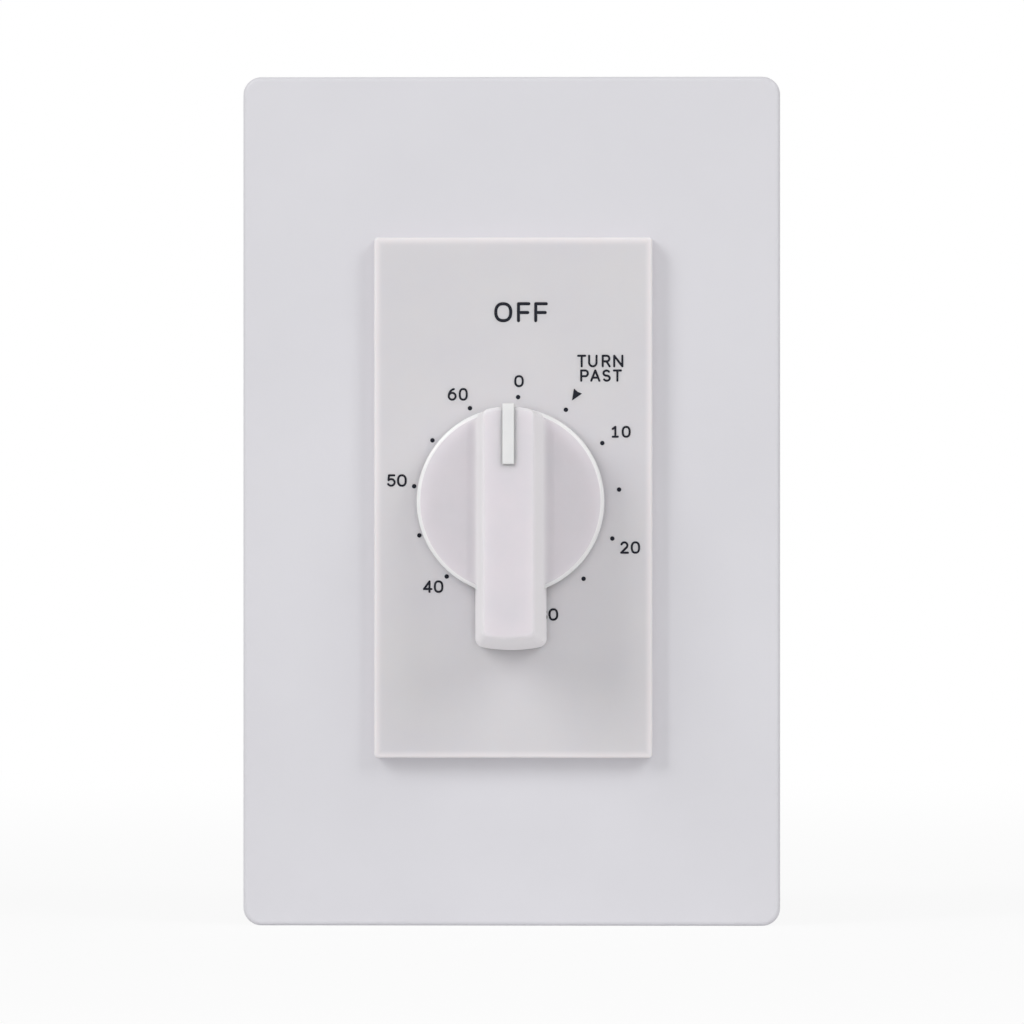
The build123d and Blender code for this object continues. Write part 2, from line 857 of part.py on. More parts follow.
export_step(knob.part, "parts/knob.step")

# Pointer insert
with BuildPart() as pointer_insert:
    with BuildSketch(Plane.YZ.offset(-pointer_width / 2)):
        add(pointer_profile(0))
    extrude(amount=pointer_width)
    fillet(pointer_insert.faces().sort_by(Axis.Y)[0].edges(), pointer_edge_r)
pointer_insert.part.label = "pointer_insert"
export_step(pointer_insert.part, "parts/pointer_insert.step")

# Knob clip, a flat spring between the hub and the arbor's flat
with BuildPart() as knob_clip:
    with BuildSketch(layer(knob_back_y - clip_length / 4)):
        with Locations((0, arbor_flat + push_clearance + clip_thick / 2)):
            Rectangle(clip_width, clip_thick)
    extrude(amount=clip_length)
knob_clip.part.label = "knob_clip"
export_step(knob_clip.part, "parts/knob_clip.step")

# Main arbor, with a flat for the knob and one for what it drives behind the bushing
arbor_front_y = knob_back_y - knob_bore_depth + arbor_front_inset
arbor_back_y = ring_y + 2 * ring_thick
slit_half = spring_thick / 2 + spring_slit_gap
with BuildPart() as main_arbor:
    with BuildSketch(layer(arbor_back_y)):
        Circle(arbor_r)
    extrude(amount=arbor_back_y - arbor_front_y)
    for front_y, back_y in ((arbor_front_y, knob_back_y + running_gap), (gear_front_y, arbor_back_y)):
        with BuildSketch(layer(back_y)):
            with Locations((0, arbor_flat + arbor_r / 2)):
                Rectangle(2 * arbor_r, arbor_r)
        extrude(amount=back_y - front_y, mode=Mode.SUBTRACT)
    with BuildSketch(layer(ring_y + ring_thick + shaft_clearance)):
        Circle(arbor_r)
        Circle(arbor_r - ring_groove_depth, mode=Mode.SUBTRACT)
    extrude(amount=ring_thick + 2 * shaft_clearance, mode=Mode.SUBTRACT)
    with BuildSketch(layer(spring_y + spring_height + spring_slit_gap)):
        with Locations((arbor_r, 0)):
            Rectangle(2 * (spring_tab_depth + spring_slit_gap), 2 * slit_half)
    extrude(amount=spring_height + 2 * spring_slit_gap, mode=Mode.SUBTRACT)
main_arbor.part.label = "main_arbor"
export_step(main_arbor.part, "parts/main_arbor.step")

# Arbor bushing, flanged on the yoke's front
with BuildPart() as arbor_bushing:
    with BuildSketch(layer(yoke_front_y)):
        Circle(bushing_flange_r)
    extrude(amount=bushing_flange_thick)
    with BuildSketch(layer(gear_front_y)):
        Circle(bushing_r)
    extrude(amount=gear_front_y - yoke_front_y)
    with BuildSketch(layer(gear_front_y)):
        Circle(arbor_r + shaft_clearance)
    extrude(amount=gear_front_y - yoke_front_y + bushing_flange_thick, mode=Mode.SUBTRACT)
arbor_bushing.part.label = "arbor_bushing"
export_step(arbor_bushing.part, "parts/arbor_bushing.step")

# Arbor retaining ring, open on one side, in its groove behind the cam
with BuildPart() as arbor_retaining_ring:
    with BuildSketch(layer(ring_y + ring_thick)):
        Circle(ring_r)
        Circle(arbor_r - ring_groove_depth + shaft_clearance, mode=Mode.SUBTRACT)
        with BuildLine():
            edges = [spot(2 * ring_r, -90 + side * ring_opening_angle / 2) for side in (-1, 1)]
            Polyline((0, 0), *edges, close=True)
        make_face(mode=Mode.SUBTRACT)
    extrude(amount=ring_thick)
arbor_retaining_ring.part.label = "arbor_retaining_ring"
export_step(arbor_retaining_ring.part, "parts/arbor_retaining_ring.step")

# Stop dog, a finger on the arbor that meets the stop pin at both ends of the turn
rest_gap_angle = (360 - turn_range) / 2
finger_half = stop_pin_ring_r * sin(radians(rest_gap_angle)) - stop_pin_r - stop_gap
with BuildPart() as stop_dog:
    with BuildSketch(layer(stop_y + stop_thick)):
        with Locations(Location((0, 0, 0), (0, 0, -rest_gap_angle))):
            with Locations((0, stop_finger_r / 2)):
                Rectangle(2 * finger_half, stop_finger_r)
        Circle(stop_hub_r)
        add(arbor_bore(), mode=Mode.SUBTRACT)
    extrude(amount=stop_thick)
stop_dog.part.label = "stop_dog"
export_step(stop_dog.part, "parts/stop_dog.step")

# Stop pin, riveted in the front plate
stop_pin = turned((0, stop_pin_ring_r), [(stop_pin_r, front_plate_y, stop_y + stop_thick + pivot_inset)])
stop_pin.part.label = "stop_pin"
export_step(stop_pin.part, "parts/stop_pin.step")

# Case front, a cover with a hollow for each snap hook
with BuildPart() as case_front:
    with BuildSketch(layer(case_front_thick)):
        RectangleRounded(case_width, case_height, case_corner_r)
        Circle(bushing_r + shaft_clearance, mode=Mode.SUBTRACT)
        with Locations(*pillar_places):
            Circle(small_screw_r + screw_clearance, mode=Mode.SUBTRACT)
    extrude(amount=case_front_thick)
    with BuildSketch(layer(hook_pocket_depth)):
        with Locations(*four(leg_x, leg_z + leg_bite / 2)):
            Rectangle(leg_width + 2 * leg_slot_gap, leg_thick + leg_bite + 2 * leg_slot_gap)
    extrude(amount=hook_pocket_depth, mode=Mode.SUBTRACT)
case_front.part.label = "case_front"
export_step(case_front.part, "parts/case_front.step")

# Case rear, a cup with a boss at each pillar and a window for the contact block
window_height = block_top_z - block_bottom_z + 2 * moulding_gap
with BuildPart() as case_rear:
    with BuildSketch(layer(case_depth)):
        RectangleRounded(case_width, case_height, case_corner_r)
    extrude(amount=case_depth - case_front_thick)
    fillet(case_rear.faces().sort_by(Axis.Y)[-1].edges(), case_edge_r)
    with BuildSketch(layer(case_floor_y)):
        Rectangle(case_width - 2 * case_wall, case_height - 2 * case_wall)
    extrude(amount=case_floor_y - case_front_thick, mode=Mode.SUBTRACT)
    with BuildSketch(layer(case_floor_y)):
        with Locations(*pillar_places):
            Circle(boss_r)
    extrude(amount=case_floor_y - switch_y)
    with BuildSketch(layer(case_depth)):
        with Locations(*pillar_places):
            Circle(small_screw_r + screw_clearance)
    extrude(amount=case_depth - switch_y, mode=Mode.SUBTRACT)
    with BuildSketch(layer(case_depth)):
        with Locations(*pillar_places):
            Circle(small_head_r + screw_clearance)
    extrude(amount=screw_recess, mode=Mode.SUBTRACT)
    with BuildSketch(layer(case_floor_y)):
        with Locations((-case_width / 2, (block_top_z + block_bottom_z) / 2)):
            Rectangle(3 * case_wall, window_height)
    extrude(amount=case_floor_y - switch_y, mode=Mode.SUBTRACT)
case_rear.part.label = "case_rear"
export_step(case_rear.part, "parts/case_rear.step")

# Frame screws, from the yoke's front into the pillars
frame_screws = screws(
    pillar_places,
    yoke_front_y,
    1,
    (small_head_r, small_head_height),
    small_screw_r,
    gear_front_y - yoke_front_y + pillar_grip,
)
frame_screws.part.label = "frame_screws"
export_step(frame_screws.part, "parts/frame_screws.step")

# Case rear screws, from behind into the pillars
case_rear_screws = screws(
    pillar_places,
    case_depth - screw_recess,
    -1,
    (small_head_r, small_head_height),
    small_screw_r,
    case_depth - screw_recess - back_plate_y + pillar_grip,
)
case_rear_screws.part.label = "case_rear_screws"
export_step(case_rear_screws.part, "parts/case_rear_screws.step")

# Movement plates
with BuildPart() as front_movement_plate:
    with BuildSketch(layer(gear_front_y)):
        RectangleRounded(movement_width, movement_height, movement_corner_r)
        Circle(bushing_r + shaft_clearance, mode=Mode.SUBTRACT)
        with Locations(*pillar_places):
            Circle(small_screw_r + screw_clearance, mode=Mode.SUBTRACT)
        with Locations(*pivot_places):
            Circle(pivot_r + shaft_clearance, mode=Mode.SUBTRACT)
        with Locations((0, stop_pin_ring_r)):
            Circle(stop_pin_r + push_clearance, mode=Mode.SUBTRACT)
    extrude(amount=movement_plate_thick)
front_movement_plate.part.label = "front_movement_plate"
export_step(front_movement_plate.part, "parts/front_movement_plate.step")

with BuildPart() as back_movement_plate:
    with BuildSketch(layer(switch_y)):
        RectangleRounded(movement_width, movement_height, movement_corner_r)
        Circle(arbor_r + shaft_clearance, mode=Mode.SUBTRACT)
        with Locations(*pillar_places):
            Circle(small_screw_r + screw_clearance, mode=Mode.SUBTRACT)
        with Locations(*pivot_places):
            Circle(pivot_r + shaft_clearance, mode=Mode.SUBTRACT)
        with Locations(post_place):
            Circle(post_r / 2 + push_clearance, mode=Mode.SUBTRACT)
        with Locations(*block_places):
            Circle(small_screw_r + thread_clearance, mode=Mode.SUBTRACT)
    extrude(amount=movement_plate_thick)
back_movement_plate.part.label = "back_movement_plate"
export_step(back_movement_plate.part, "parts/back_movement_plate.step")

# Movement pillars, tapped at both ends
with BuildPart() as movement_pillars:
    with BuildSketch(layer(back_plate_y)):
        with Locations(*pillar_places):
            Circle(pillar_r)
            Circle(small_screw_r + thread_clearance, mode=Mode.SUBTRACT)
    extrude(amount=back_plate_y - gear_front_y)
movement_pillars.part.label = "movement_pillars"
export_step(movement_pillars.part, "parts/movement_pillars.step")

# Great wheel, free on the arbor and driven through the ratchet
with BuildPart() as great_wheel:
    with BuildSketch(layer(great_y + great_thick)):
        add(gear_outline(great_teeth, great_module, -profile_shift_share, wheel_tip_share, second_angle))
        Circle(arbor_r + shaft_clearance, mode=Mode.SUBTRACT)
        with PolarLocations(great_hole_ring_r, spokes, start_angle=click_pivot_angle + 45):
            Circle(great_hole_r, mode=Mode.SUBTRACT)
        with Locations(click_centre):
            Circle(click_stud_r + push_clearance, mode=Mode.SUBTRACT)
    extrude(amount=great_thick)
great_wheel.part.label = "great_wheel"
export_step(great_wheel.part, "parts/great_wheel.step")

# Ratchet wheel, its steep faces driving the click as the spring runs down
with BuildPart() as ratchet_wheel:
    with BuildSketch(layer(ratchet_y + ratchet_thick)):
        with BuildLine():
            for count in range(ratchet_teeth):
                start = ratchet_angle + 360 * count / ratchet_teeth
                end = start + 360 / ratchet_teeth
                Line(spot(ratchet_r, start), spot(ratchet_root_r, start))
                Line(spot(ratchet_root_r, start), spot(ratchet_r, end))
        make_face()
        add(arbor_bore(), mode=Mode.SUBTRACT)
    extrude(amount=ratchet_thick)
ratchet_wheel.part.label = "ratchet_wheel"
export_step(ratchet_wheel.part, "parts/ratchet_wheel.step")

# Click, bent round the ratchet's teeth, with its nose behind one of them
elbow = spot(click_elbow_ring_r, click_elbow_angle)
nose = spot(click_nose_ring_r, click_nose_angle)
with BuildPart() as click:
    with BuildSketch(layer(ratchet_y + ratchet_thick)):
        add(link(click_centre, click_boss_r, elbow, click_elbow_r))
        add(link(elbow, click_elbow_r, nose, click_nose_r))
        with Locations(click_centre):
            Circle(click_stud_r + shaft_clearance, mode=Mode.SUBTRACT)
    extrude(amount=ratchet_thick)
click.part.label = "click"
export_step(click.part, "parts/click.step")

click_back_y = ratchet_y + ratchet_thick + push_clearance
click_stud = turned(
    click_centre,
    [
        (click_stud_r, great_y, click_back_y),
        (click_stud_head_r, click_back_y, click_back_y + click_stud_head_thick),
    ],
)
click_stud.part.label = "click_stud"
export_step(click_stud.part, "parts/click_stud.step")

# Click spring, a leaf from its foot on the great wheel to the click's elbow
foot = spot(click_spring_foot_ring_r, click_spring_foot_angle)
leaf_out = click_elbow_r + click_spring_gap + click_spring_thick / 2
leaf_end = spot(leaf_out, click_elbow_angle, elbow)
with BuildPart() as click_spring:
    with BuildSketch(layer(ratchet_y + ratchet_thick)):
        add(link(foot, click_spring_thick / 2, leaf_end, click_spring_thick / 2))
        with Locations(foot):
            Circle(click_spring_foot_r)
    extrude(amount=ratchet_thick)
    with BuildSketch(layer(great_y + great_thick + ratchet_thick)):
        with Locations(foot):
            Circle(click_spring_foot_r)
    extrude(amount=ratchet_thick)
click_spring.part.label = "click_spring"
export_step(click_spring.part, "parts/click_spring.step")

# Mainspring, half turns whose centres step to and fro, then a curl round the post
first_r = arbor_r + spring_bore_gap + spring_thick / 2
step = spring_pitch / 2
spring_middle_y = spring_y + spring_height / 2
with BuildPart() as mainspring:
    with BuildLine(layer(spring_middle_y)) as coil:
        for count in range(spring_half_turns):
            centre_x = step * (count % 2)
            up = 1 if count % 2 == 0 else -1
            radius = first_r + count * step
            ThreePointArc(
                (centre_x + up * radius, 0),
                (centre_x, up * radius),
                (centre_x - up * radius, 0),
            )
        ThreePointArc(
            (spring_end_r, 0),
            spot(post_curl_r, 45, post_place),
            spot(post_curl_r, -90, post_place),
        )
    with BuildSketch(Plane(origin=coil.line @ 0, x_dir=(0, 1, 0), z_dir=coil.line % 0)):
        Rectangle(spring_height, spring_thick)
    sweep(path=coil.line)
    with BuildSketch(layer(spring_y + spring_height)):
        with Locations((first_r - spring_tab_depth / 2, 0)):
            Rectangle(spring_tab_depth + spring_thick, spring_thick)
    extrude(amount=spring_height)
mainspring.part.label = "mainspring"
export_step(mainspring.part, "parts/mainspring.step")

# Spring post, riveted in the back plate
spring_post = turned(
    post_place,
    [(post_r, spring_y - post_front_gap, back_plate_y), (post_r / 2, back_plate_y, switch_y)],
)
spring_post.part.label = "spring_post"
export_step(spring_post.part, "parts/spring_post.step")

# Going train
great_span = (great_y, great_y + great_thick)
second_arbor = pinion_arbor(second_centre, great_module, second_angle + 180, second_arbor_r, great_span)
second_arbor.part.label = "second_arbor"
export_step(second_arbor.part, "parts/second_arbor.step")

second_wheel = train_wheel(second_centre, second_module, third_angle, second_y, second_arbor_r)
second_wheel.part.label = "second_wheel"
export_step(second_wheel.part, "parts/second_wheel.step")

second_span = (second_y, second_y + train_wheel_thick)
third_arbor = pinion_arbor(third_centre, second_module, third_angle + 180, light_arbor_r, second_span)
third_arbor.part.label = "third_arbor"
export_step(third_arbor.part, "parts/third_arbor.step")

third_wheel = train_wheel(third_centre, third_module, escape_angle, third_y, light_arbor_r)
third_wheel.part.label = "third_wheel"
export_step(third_wheel.part, "parts/third_wheel.step")

third_span = (third_y, third_y + train_wheel_thick)
escape_arbor = pinion_arbor(escape_centre, third_module, escape_angle + 180, light_arbor_r, third_span)
escape_arbor.part.label = "escape_arbor"
export_step(escape_arbor.part, "parts/escape_arbor.step")

# Escape wheel, with pointed teeth a quarter of a pitch from each nose of the verge
escape_pitch = 360 / escape_teeth
first_tooth = verge_angle - verge_half_span + escape_pitch / 4
tip_turn = degrees(escape_tip_half / escape_tip_r)
root_turn = degrees(escape_root_half / escape_root_r)
with BuildPart() as escape_wheel:
    with BuildSketch(layer(escape_y + escape_thick)):
        with BuildLine():
            for count in range(escape_teeth):
                middle = first_tooth + count * escape_pitch
                Polyline(
                    spot(escape_root_r, middle - root_turn, escape_centre),
                    spot(escape_tip_r, middle - tip_turn, escape_centre),
                    spot(escape_tip_r, middle + tip_turn, escape_centre),
                    spot(escape_root_r, middle + root_turn, escape_centre),
                    spot(escape_root_r, middle + escape_pitch - root_turn, escape_centre),
                )
        make_face()
        with Locations(escape_centre):
            Circle(escape_rim_r, mode=Mode.SUBTRACT)
            Circle(light_hub_r)
            with PolarLocations(escape_rim_r / 2, spokes):
                Rectangle(escape_rim_r + escape_root_half, escape_spoke_width)
            Circle(light_arbor_r + push_clearance, mode=Mode.SUBTRACT)
    extrude(amount=escape_thick)
escape_wheel.part.label = "escape_wheel"
export_step(escape_wheel.part, "parts/escape_wheel.step")

# Verge, an anchor whose two noses dip between the teeth in turn
verge_y = escape_y - (verge_thick - escape_thick) / 2
with BuildPart() as verge:
    with BuildSketch(layer(verge_y + verge_thick)):
        for side in (-1, 1):
            nose_angle = verge_angle + side * verge_half_span
            shoulder = spot(verge_reach + verge_shoulder_rise, nose_angle, escape_centre)
            tip = spot(verge_reach + verge_nose_r, nose_angle, escape_centre)
            add(link(verge_centre, verge_shoulder_r, shoulder, verge_shoulder_r))
            add(link(shoulder, verge_shoulder_r / 2, tip, verge_nose_r))
        with Locations(verge_centre):
            Circle(verge_hub_r)
            Circle(light_arbor_r + push_clearance, mode=Mode.SUBTRACT)
    extrude(amount=verge_thick)
verge.part.label = "verge"
export_step(verge.part, "parts/verge.step")

verge_arbor = turned(
    verge_centre,
    [
        (pivot_r, front_plate_y + pivot_inset, gear_front_y + running_gap),
        (light_arbor_r, gear_front_y + running_gap, back_plate_y - running_gap),
        (pivot_r, back_plate_y - running_gap, switch_y - pivot_inset),
    ],
)
verge_arbor.part.label = "verge_arbor"
export_step(verge_arbor.part, "parts/verge_arbor.step")

# Balance bar, which slows the verge's rocking
with BuildPart() as balance_bar:
    with BuildSketch(layer(second_y + bar_thick)):
        with Locations(verge_centre):
            Rectangle(bar_width, 2 * bar_half_length)
            with Locations(*pair(0, bar_half_length)):
                Circle(bar_weight_r)
            Circle(verge_hub_r)
            Circle(light_arbor_r + push_clearance, mode=Mode.SUBTRACT)
    extrude(amount=bar_thick)
balance_bar.part.label = "balance_bar"
export_step(balance_bar.part, "parts/balance_bar.step")

# Switch cam, its notch under the blade's bump at OFF
notch_floor_r = cam_r - cam_notch_depth
with BuildPart() as switch_cam:
    with BuildSketch(layer(cam_y + cam_thick)):
        Circle(cam_r)
        with BuildLine():
            sides = [(cam_r + overrun, cam_notch_half_angle), (notch_floor_r, cam_notch_floor_half_angle)]
            right = [spot(radius, 90 - turn) for radius, turn in sides]
            left = [spot(radius, 90 + turn) for radius, turn in reversed(sides)]
            Polyline(*right, *left, close=True)
        make_face(mode=Mode.SUBTRACT)
    extrude(amount=cam_thick)
    with BuildSketch(layer(cam_y)):
        Circle(cam_hub_r)
    extrude(amount=cam_hub_rise)
    with BuildSketch(layer(cam_y + cam_thick)):
        add(arbor_bore())
    extrude(amount=cam_thick + cam_hub_rise, mode=Mode.SUBTRACT)
switch_cam.part.label = "switch_cam"
export_step(switch_cam.part, "parts/switch_cam.step")

# Contact blades, clamped in the block and touching the terminal plates
terminal_inner_x = -case_width / 2 + terminal_thick
blade_end_x = contact_x + blade_end_gap
moving_z = cam_r + blade_lift_gap
fixed_z = moving_z + blade_thick + 2 * contact_height + contact_gap
bump_z = notch_floor_r + blade_bump_gap
with BuildPart() as moving_contact_blade:
    with BuildSketch(layer(blade_back_y)):
        with BuildLine():
            Polyline(
                (terminal_inner_x, moving_z),
                (-blade_bump_half_width, moving_z),
                (0, bump_z),
                (blade_bump_half_width, moving_z),
                (blade_end_x, moving_z),
                (blade_end_x, moving_z + blade_thick),
                (blade_bump_half_width, moving_z + blade_thick),
                (0, bump_z + blade_thick),
                (-blade_bump_half_width, moving_z + blade_thick),
                (terminal_inner_x, moving_z + blade_thick),
                close=True,
            )
        make_face()
    extrude(amount=blade_width)
moving_contact_blade.part.label = "moving_contact_blade"
export_step(moving_contact_blade.part, "parts/moving_contact_blade.step")

with BuildPart() as fixed_contact_blade:
    with BuildSketch(layer(blade_back_y)):
        with Locations(((terminal_inner_x + blade_end_x) / 2, fixed_z + blade_thick / 2)):
            Rectangle(blade_end_x - terminal_inner_x, blade_thick)
    extrude(amount=blade_width)
fixed_contact_blade.part.label = "fixed_contact_blade"
export_step(fixed_contact_blade.part, "parts/fixed_contact_blade.step")


def contact_button(z):
    """A silver contact standing up from this height, in the middle of the blade."""
    with BuildPart() as button:
        with BuildSketch(Plane.XY.offset(z)):
            with Locations((contact_x, blade_back_y - blade_width / 2)):
                Circle(contact_r)
        extrude(amount=contact_height)
    return button


moving_contact = contact_button(moving_z + blade_thick)
moving_contact.part.label = "moving_contact"
export_step(moving_contact.part, "parts/moving_contact.step")

fixed_contact = contact_button(fixed_z - contact_height)
fixed_contact.part.label = "fixed_contact"
export_step(fixed_contact.part, "parts/fixed_contact.step")

# Contact block, the insulator that fills the case's window and carries both terminals
terminal_places = [(terminal_y, terminal_low_z), (terminal_y, terminal_high_z)]
block_width = block_inner_x + case_width / 2
block_middle = (block_inner_x - block_width / 2, (block_top_z + block_bottom_z) / 2)
barrier_z = (terminal_low_z + terminal_high_z) / 2
block_slot_depth = blade_width + 2 * push_clearance
with BuildPart() as contact_block:
    with BuildSketch(layer(block_back_y)):
        with Locations(block_middle):
            Rectangle(block_width, block_top_z - block_bottom_z)
    extrude(amount=block_back_y - switch_y)
    with BuildSketch(layer(block_back_y)):
        with Locations((-case_width / 2, barrier_z)):
            Rectangle(2 * barrier_reach, barrier_width)
    extrude(amount=block_back_y - switch_y)
    with BuildSketch(layer(block_back_y)):
        with Locations(*block_places):
            Circle(small_screw_r + screw_clearance)
    extrude(amount=block_back_y - switch_y, mode=Mode.SUBTRACT)
    with BuildSketch(layer(block_back_y)):
        with Locations(*block_places):
            Circle(small_head_r + screw_clearance)
    extrude(amount=small_head_height, mode=Mode.SUBTRACT)
    with BuildSketch(layer(blade_back_y + push_clearance)):
        for z in (moving_z, fixed_z):
            with Locations((block_middle[0], z + blade_thick / 2)):
                Rectangle(block_width, blade_thick + 2 * push_clearance)
    extrude(amount=block_slot_depth, mode=Mode.SUBTRACT)
    with BuildSketch(Plane.YZ.offset(-case_width / 2)):
        with Locations(*terminal_places):
            Rectangle(terminal_size + 2 * push_clearance, terminal_size + 2 * push_clearance)
    extrude(amount=terminal_thick, mode=Mode.SUBTRACT)
    with BuildSketch(Plane.YZ.offset(-case_width / 2)):
        with Locations(*terminal_places):
            Circle(box_screw_r + thread_clearance)
    extrude(amount=terminal_screw_length + push_clearance, mode=Mode.SUBTRACT)
contact_block.part.label = "contact_block"
export_step(contact_block.part, "parts/contact_block.step")

# Block screws, from behind into the back plate
block_screws = screws(
    block_places,
    block_back_y - small_head_height,
    -1,
    (small_head_r, small_head_height),
    small_screw_r,
    block_back_y - small_head_height - back_plate_y,
)
block_screws.part.label = "block_screws"
export_step(block_screws.part, "parts/block_screws.step")

# Terminal plates and screws, on the block's outer face
with BuildPart() as terminal_plates:
    with BuildSketch(Plane.YZ.offset(-case_width / 2)):
        with Locations(*terminal_places):
            RectangleRounded(terminal_size, terminal_size, terminal_corner_r)
            Circle(box_screw_r + thread_clearance, mode=Mode.SUBTRACT)
    extrude(amount=terminal_thick)
terminal_plates.part.label = "terminal_plates"
export_step(terminal_plates.part, "parts/terminal_plates.step")

with BuildPart() as terminal_screws:
    with BuildSketch(Plane.YZ.offset(-case_width / 2)):
        with Locations(*terminal_places):
            Circle(terminal_head_r)
    extrude(amount=-terminal_head_height)
    fillet(terminal_screws.edges().filter_by(GeomType.CIRCLE).group_by(Axis.X)[0], head_edge_r)
    with BuildSketch(Plane.YZ.offset(-case_width / 2)):
        with Locations(*terminal_places):
            Circle(box_screw_r)
    extrude(amount=terminal_screw_length)
    with BuildSketch(Plane.YZ.offset(-case_width / 2 - terminal_head_height)):
        with Locations(*terminal_places):
            Rectangle(drive_slot_width, 2 * terminal_head_r)
    extrude(amount=drive_slot_depth, mode=Mode.SUBTRACT)
terminal_screws.part.label = "terminal_screws"
export_step(terminal_screws.part, "parts/terminal_screws.step")
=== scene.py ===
"""Looks of the timer light switch: its print, its finishes, its light and its camera.

The sizes named here are millimetres unless a comment says otherwise.
"""

import json
from collections import namedtuple
from math import copysign, cos, pi, radians, sin

import bpy
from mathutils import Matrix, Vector


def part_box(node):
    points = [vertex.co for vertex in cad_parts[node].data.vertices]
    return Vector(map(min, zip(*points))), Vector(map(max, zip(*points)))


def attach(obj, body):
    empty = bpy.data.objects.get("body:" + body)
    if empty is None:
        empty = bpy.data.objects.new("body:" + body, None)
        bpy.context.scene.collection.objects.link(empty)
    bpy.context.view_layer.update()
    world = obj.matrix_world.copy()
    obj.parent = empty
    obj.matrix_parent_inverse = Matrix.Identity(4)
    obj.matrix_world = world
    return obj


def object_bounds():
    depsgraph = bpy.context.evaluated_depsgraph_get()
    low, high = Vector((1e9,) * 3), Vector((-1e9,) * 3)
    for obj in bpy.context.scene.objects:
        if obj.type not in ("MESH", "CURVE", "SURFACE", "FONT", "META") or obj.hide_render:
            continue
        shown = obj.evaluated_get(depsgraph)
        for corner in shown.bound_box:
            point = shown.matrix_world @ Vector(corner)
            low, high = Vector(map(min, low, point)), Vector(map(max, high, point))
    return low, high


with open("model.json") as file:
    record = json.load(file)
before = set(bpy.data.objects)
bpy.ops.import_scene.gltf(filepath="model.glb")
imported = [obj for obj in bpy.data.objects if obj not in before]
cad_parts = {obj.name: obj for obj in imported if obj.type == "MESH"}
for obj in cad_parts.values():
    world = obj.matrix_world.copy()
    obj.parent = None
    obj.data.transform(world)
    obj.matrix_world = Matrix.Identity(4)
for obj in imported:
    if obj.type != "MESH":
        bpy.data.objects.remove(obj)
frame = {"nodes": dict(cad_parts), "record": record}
cad_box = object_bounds()

MM = 0.001

# ---------------------------------------------------------------- sizes
dial_face_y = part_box("dial_plate")[0].y / MM
dial_low, dial_high = [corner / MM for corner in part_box("dial_plate")]
# Width of the painted light band inside the dial's edges
dial_painted_rim_band = 1.3

disc_rise = 3.8
# Width of the painted light band inside the knob disc's rim
disc_painted_rim_band = 2.6

dot_count = 13
dot_ring_r = 14.36
dot_r = 0.315
dot_ring_turn = 0.94
dot_ring_x = 0.75
dot_ring_z = 0.12
ink_rise = 0.02
word_stroke = 0.44
small_word_stroke = 0.30
number_stroke = 0.30
arrow_softness = 0.09

# Number 6 machine screws, 32 threads to the inch
screw_r = 1.75
thread_pitch = 25.4 / 32
thread_ridge = 0.24
thread_root = 0.10
thread_lead = 0.5
ground_thread_length = 5.0

# Each printed word or number: its text, each character's left and right edge, its foot and its top
off_word = [("OFF", [(-2.34, 0.18), (0.82, 2.70), (3.22, 5.13)], 24.90, 27.69)]
turn_past_words = [
    ("TURN", [(9.19, 10.47), (10.72, 12.05), (12.61, 13.87), (14.21, 15.64)], 18.61, 20.38),
    ("PAST", [(9.62, 10.84), (11.01, 12.44), (12.69, 13.90), (14.16, 15.44)], 16.61, 18.33),
]
minute_numbers = [
    ("0", [(0.44, 1.78)], 15.86, 17.54),
    ("10", [(13.96, 15.00), (15.39, 16.65)], 8.82, 10.48),
    ("20", [(15.18, 16.41), (16.65, 17.97)], -7.31, -5.57),
    ("30", [(3.88, 5.10), (5.21, 6.57)], -16.62, -14.89),
    ("40", [(-12.26, -10.93), (-10.75, -9.41)], -12.76, -11.01),
    ("50", [(-17.27, -16.03), (-15.87, -14.51)], 2.01, 3.75),
    ("60", [(-8.81, -7.56), (-7.28, -6.01)], 13.98, 15.76),
]
arrow_corners = [(8.75, 15.71), (9.27, 15.22), (9.90, 14.97), (8.48, 13.99)]


# ---------------------------------------------------------------- small helpers
def linear(hex_colour):
    """An sRGB hex colour as the linear numbers that a shader reads."""
    shares = [int(hex_colour[i : i + 2], 16) / 255 for i in (1, 3, 5)]
    return (*[s / 12.92 if s <= 0.04045 else ((s + 0.055) / 1.055) ** 2.4 for s in shares], 1.0)


def add(tree, kind, settings=None, inputs=None):
    """One node with its own settings, and its inputs as values or as another node's output."""
    made = tree.nodes.new(kind)
    for name, value in (settings or {}).items():
        setattr(made, name, value)
    for name, value in (inputs or {}).items():
        if isinstance(value, bpy.types.NodeSocket):
            tree.links.new(value, made.inputs[name])
        else:
            made.inputs[name].default_value = value
    return made


def empty_tree(owner):
    """The node tree of a new material or world, with nothing in it."""
    owner.use_nodes = True
    owner.node_tree.nodes.clear()
    return owner.node_tree


def link_object(name, data):
    made = bpy.data.objects.new(name, data)
    bpy.context.scene.collection.objects.link(made)
    return made


# ---------------------------------------------------------------- finishes
Finish = namedtuple("Finish", "material tree shader tone")

# A noise texture stays almost wholly between these two values
noise_low, noise_high = 0.3, 0.7
roughness_swing = 0.05
# At scale 1 a wave texture draws this many bands in one unit
wave_bands = 20 / (2 * pi)


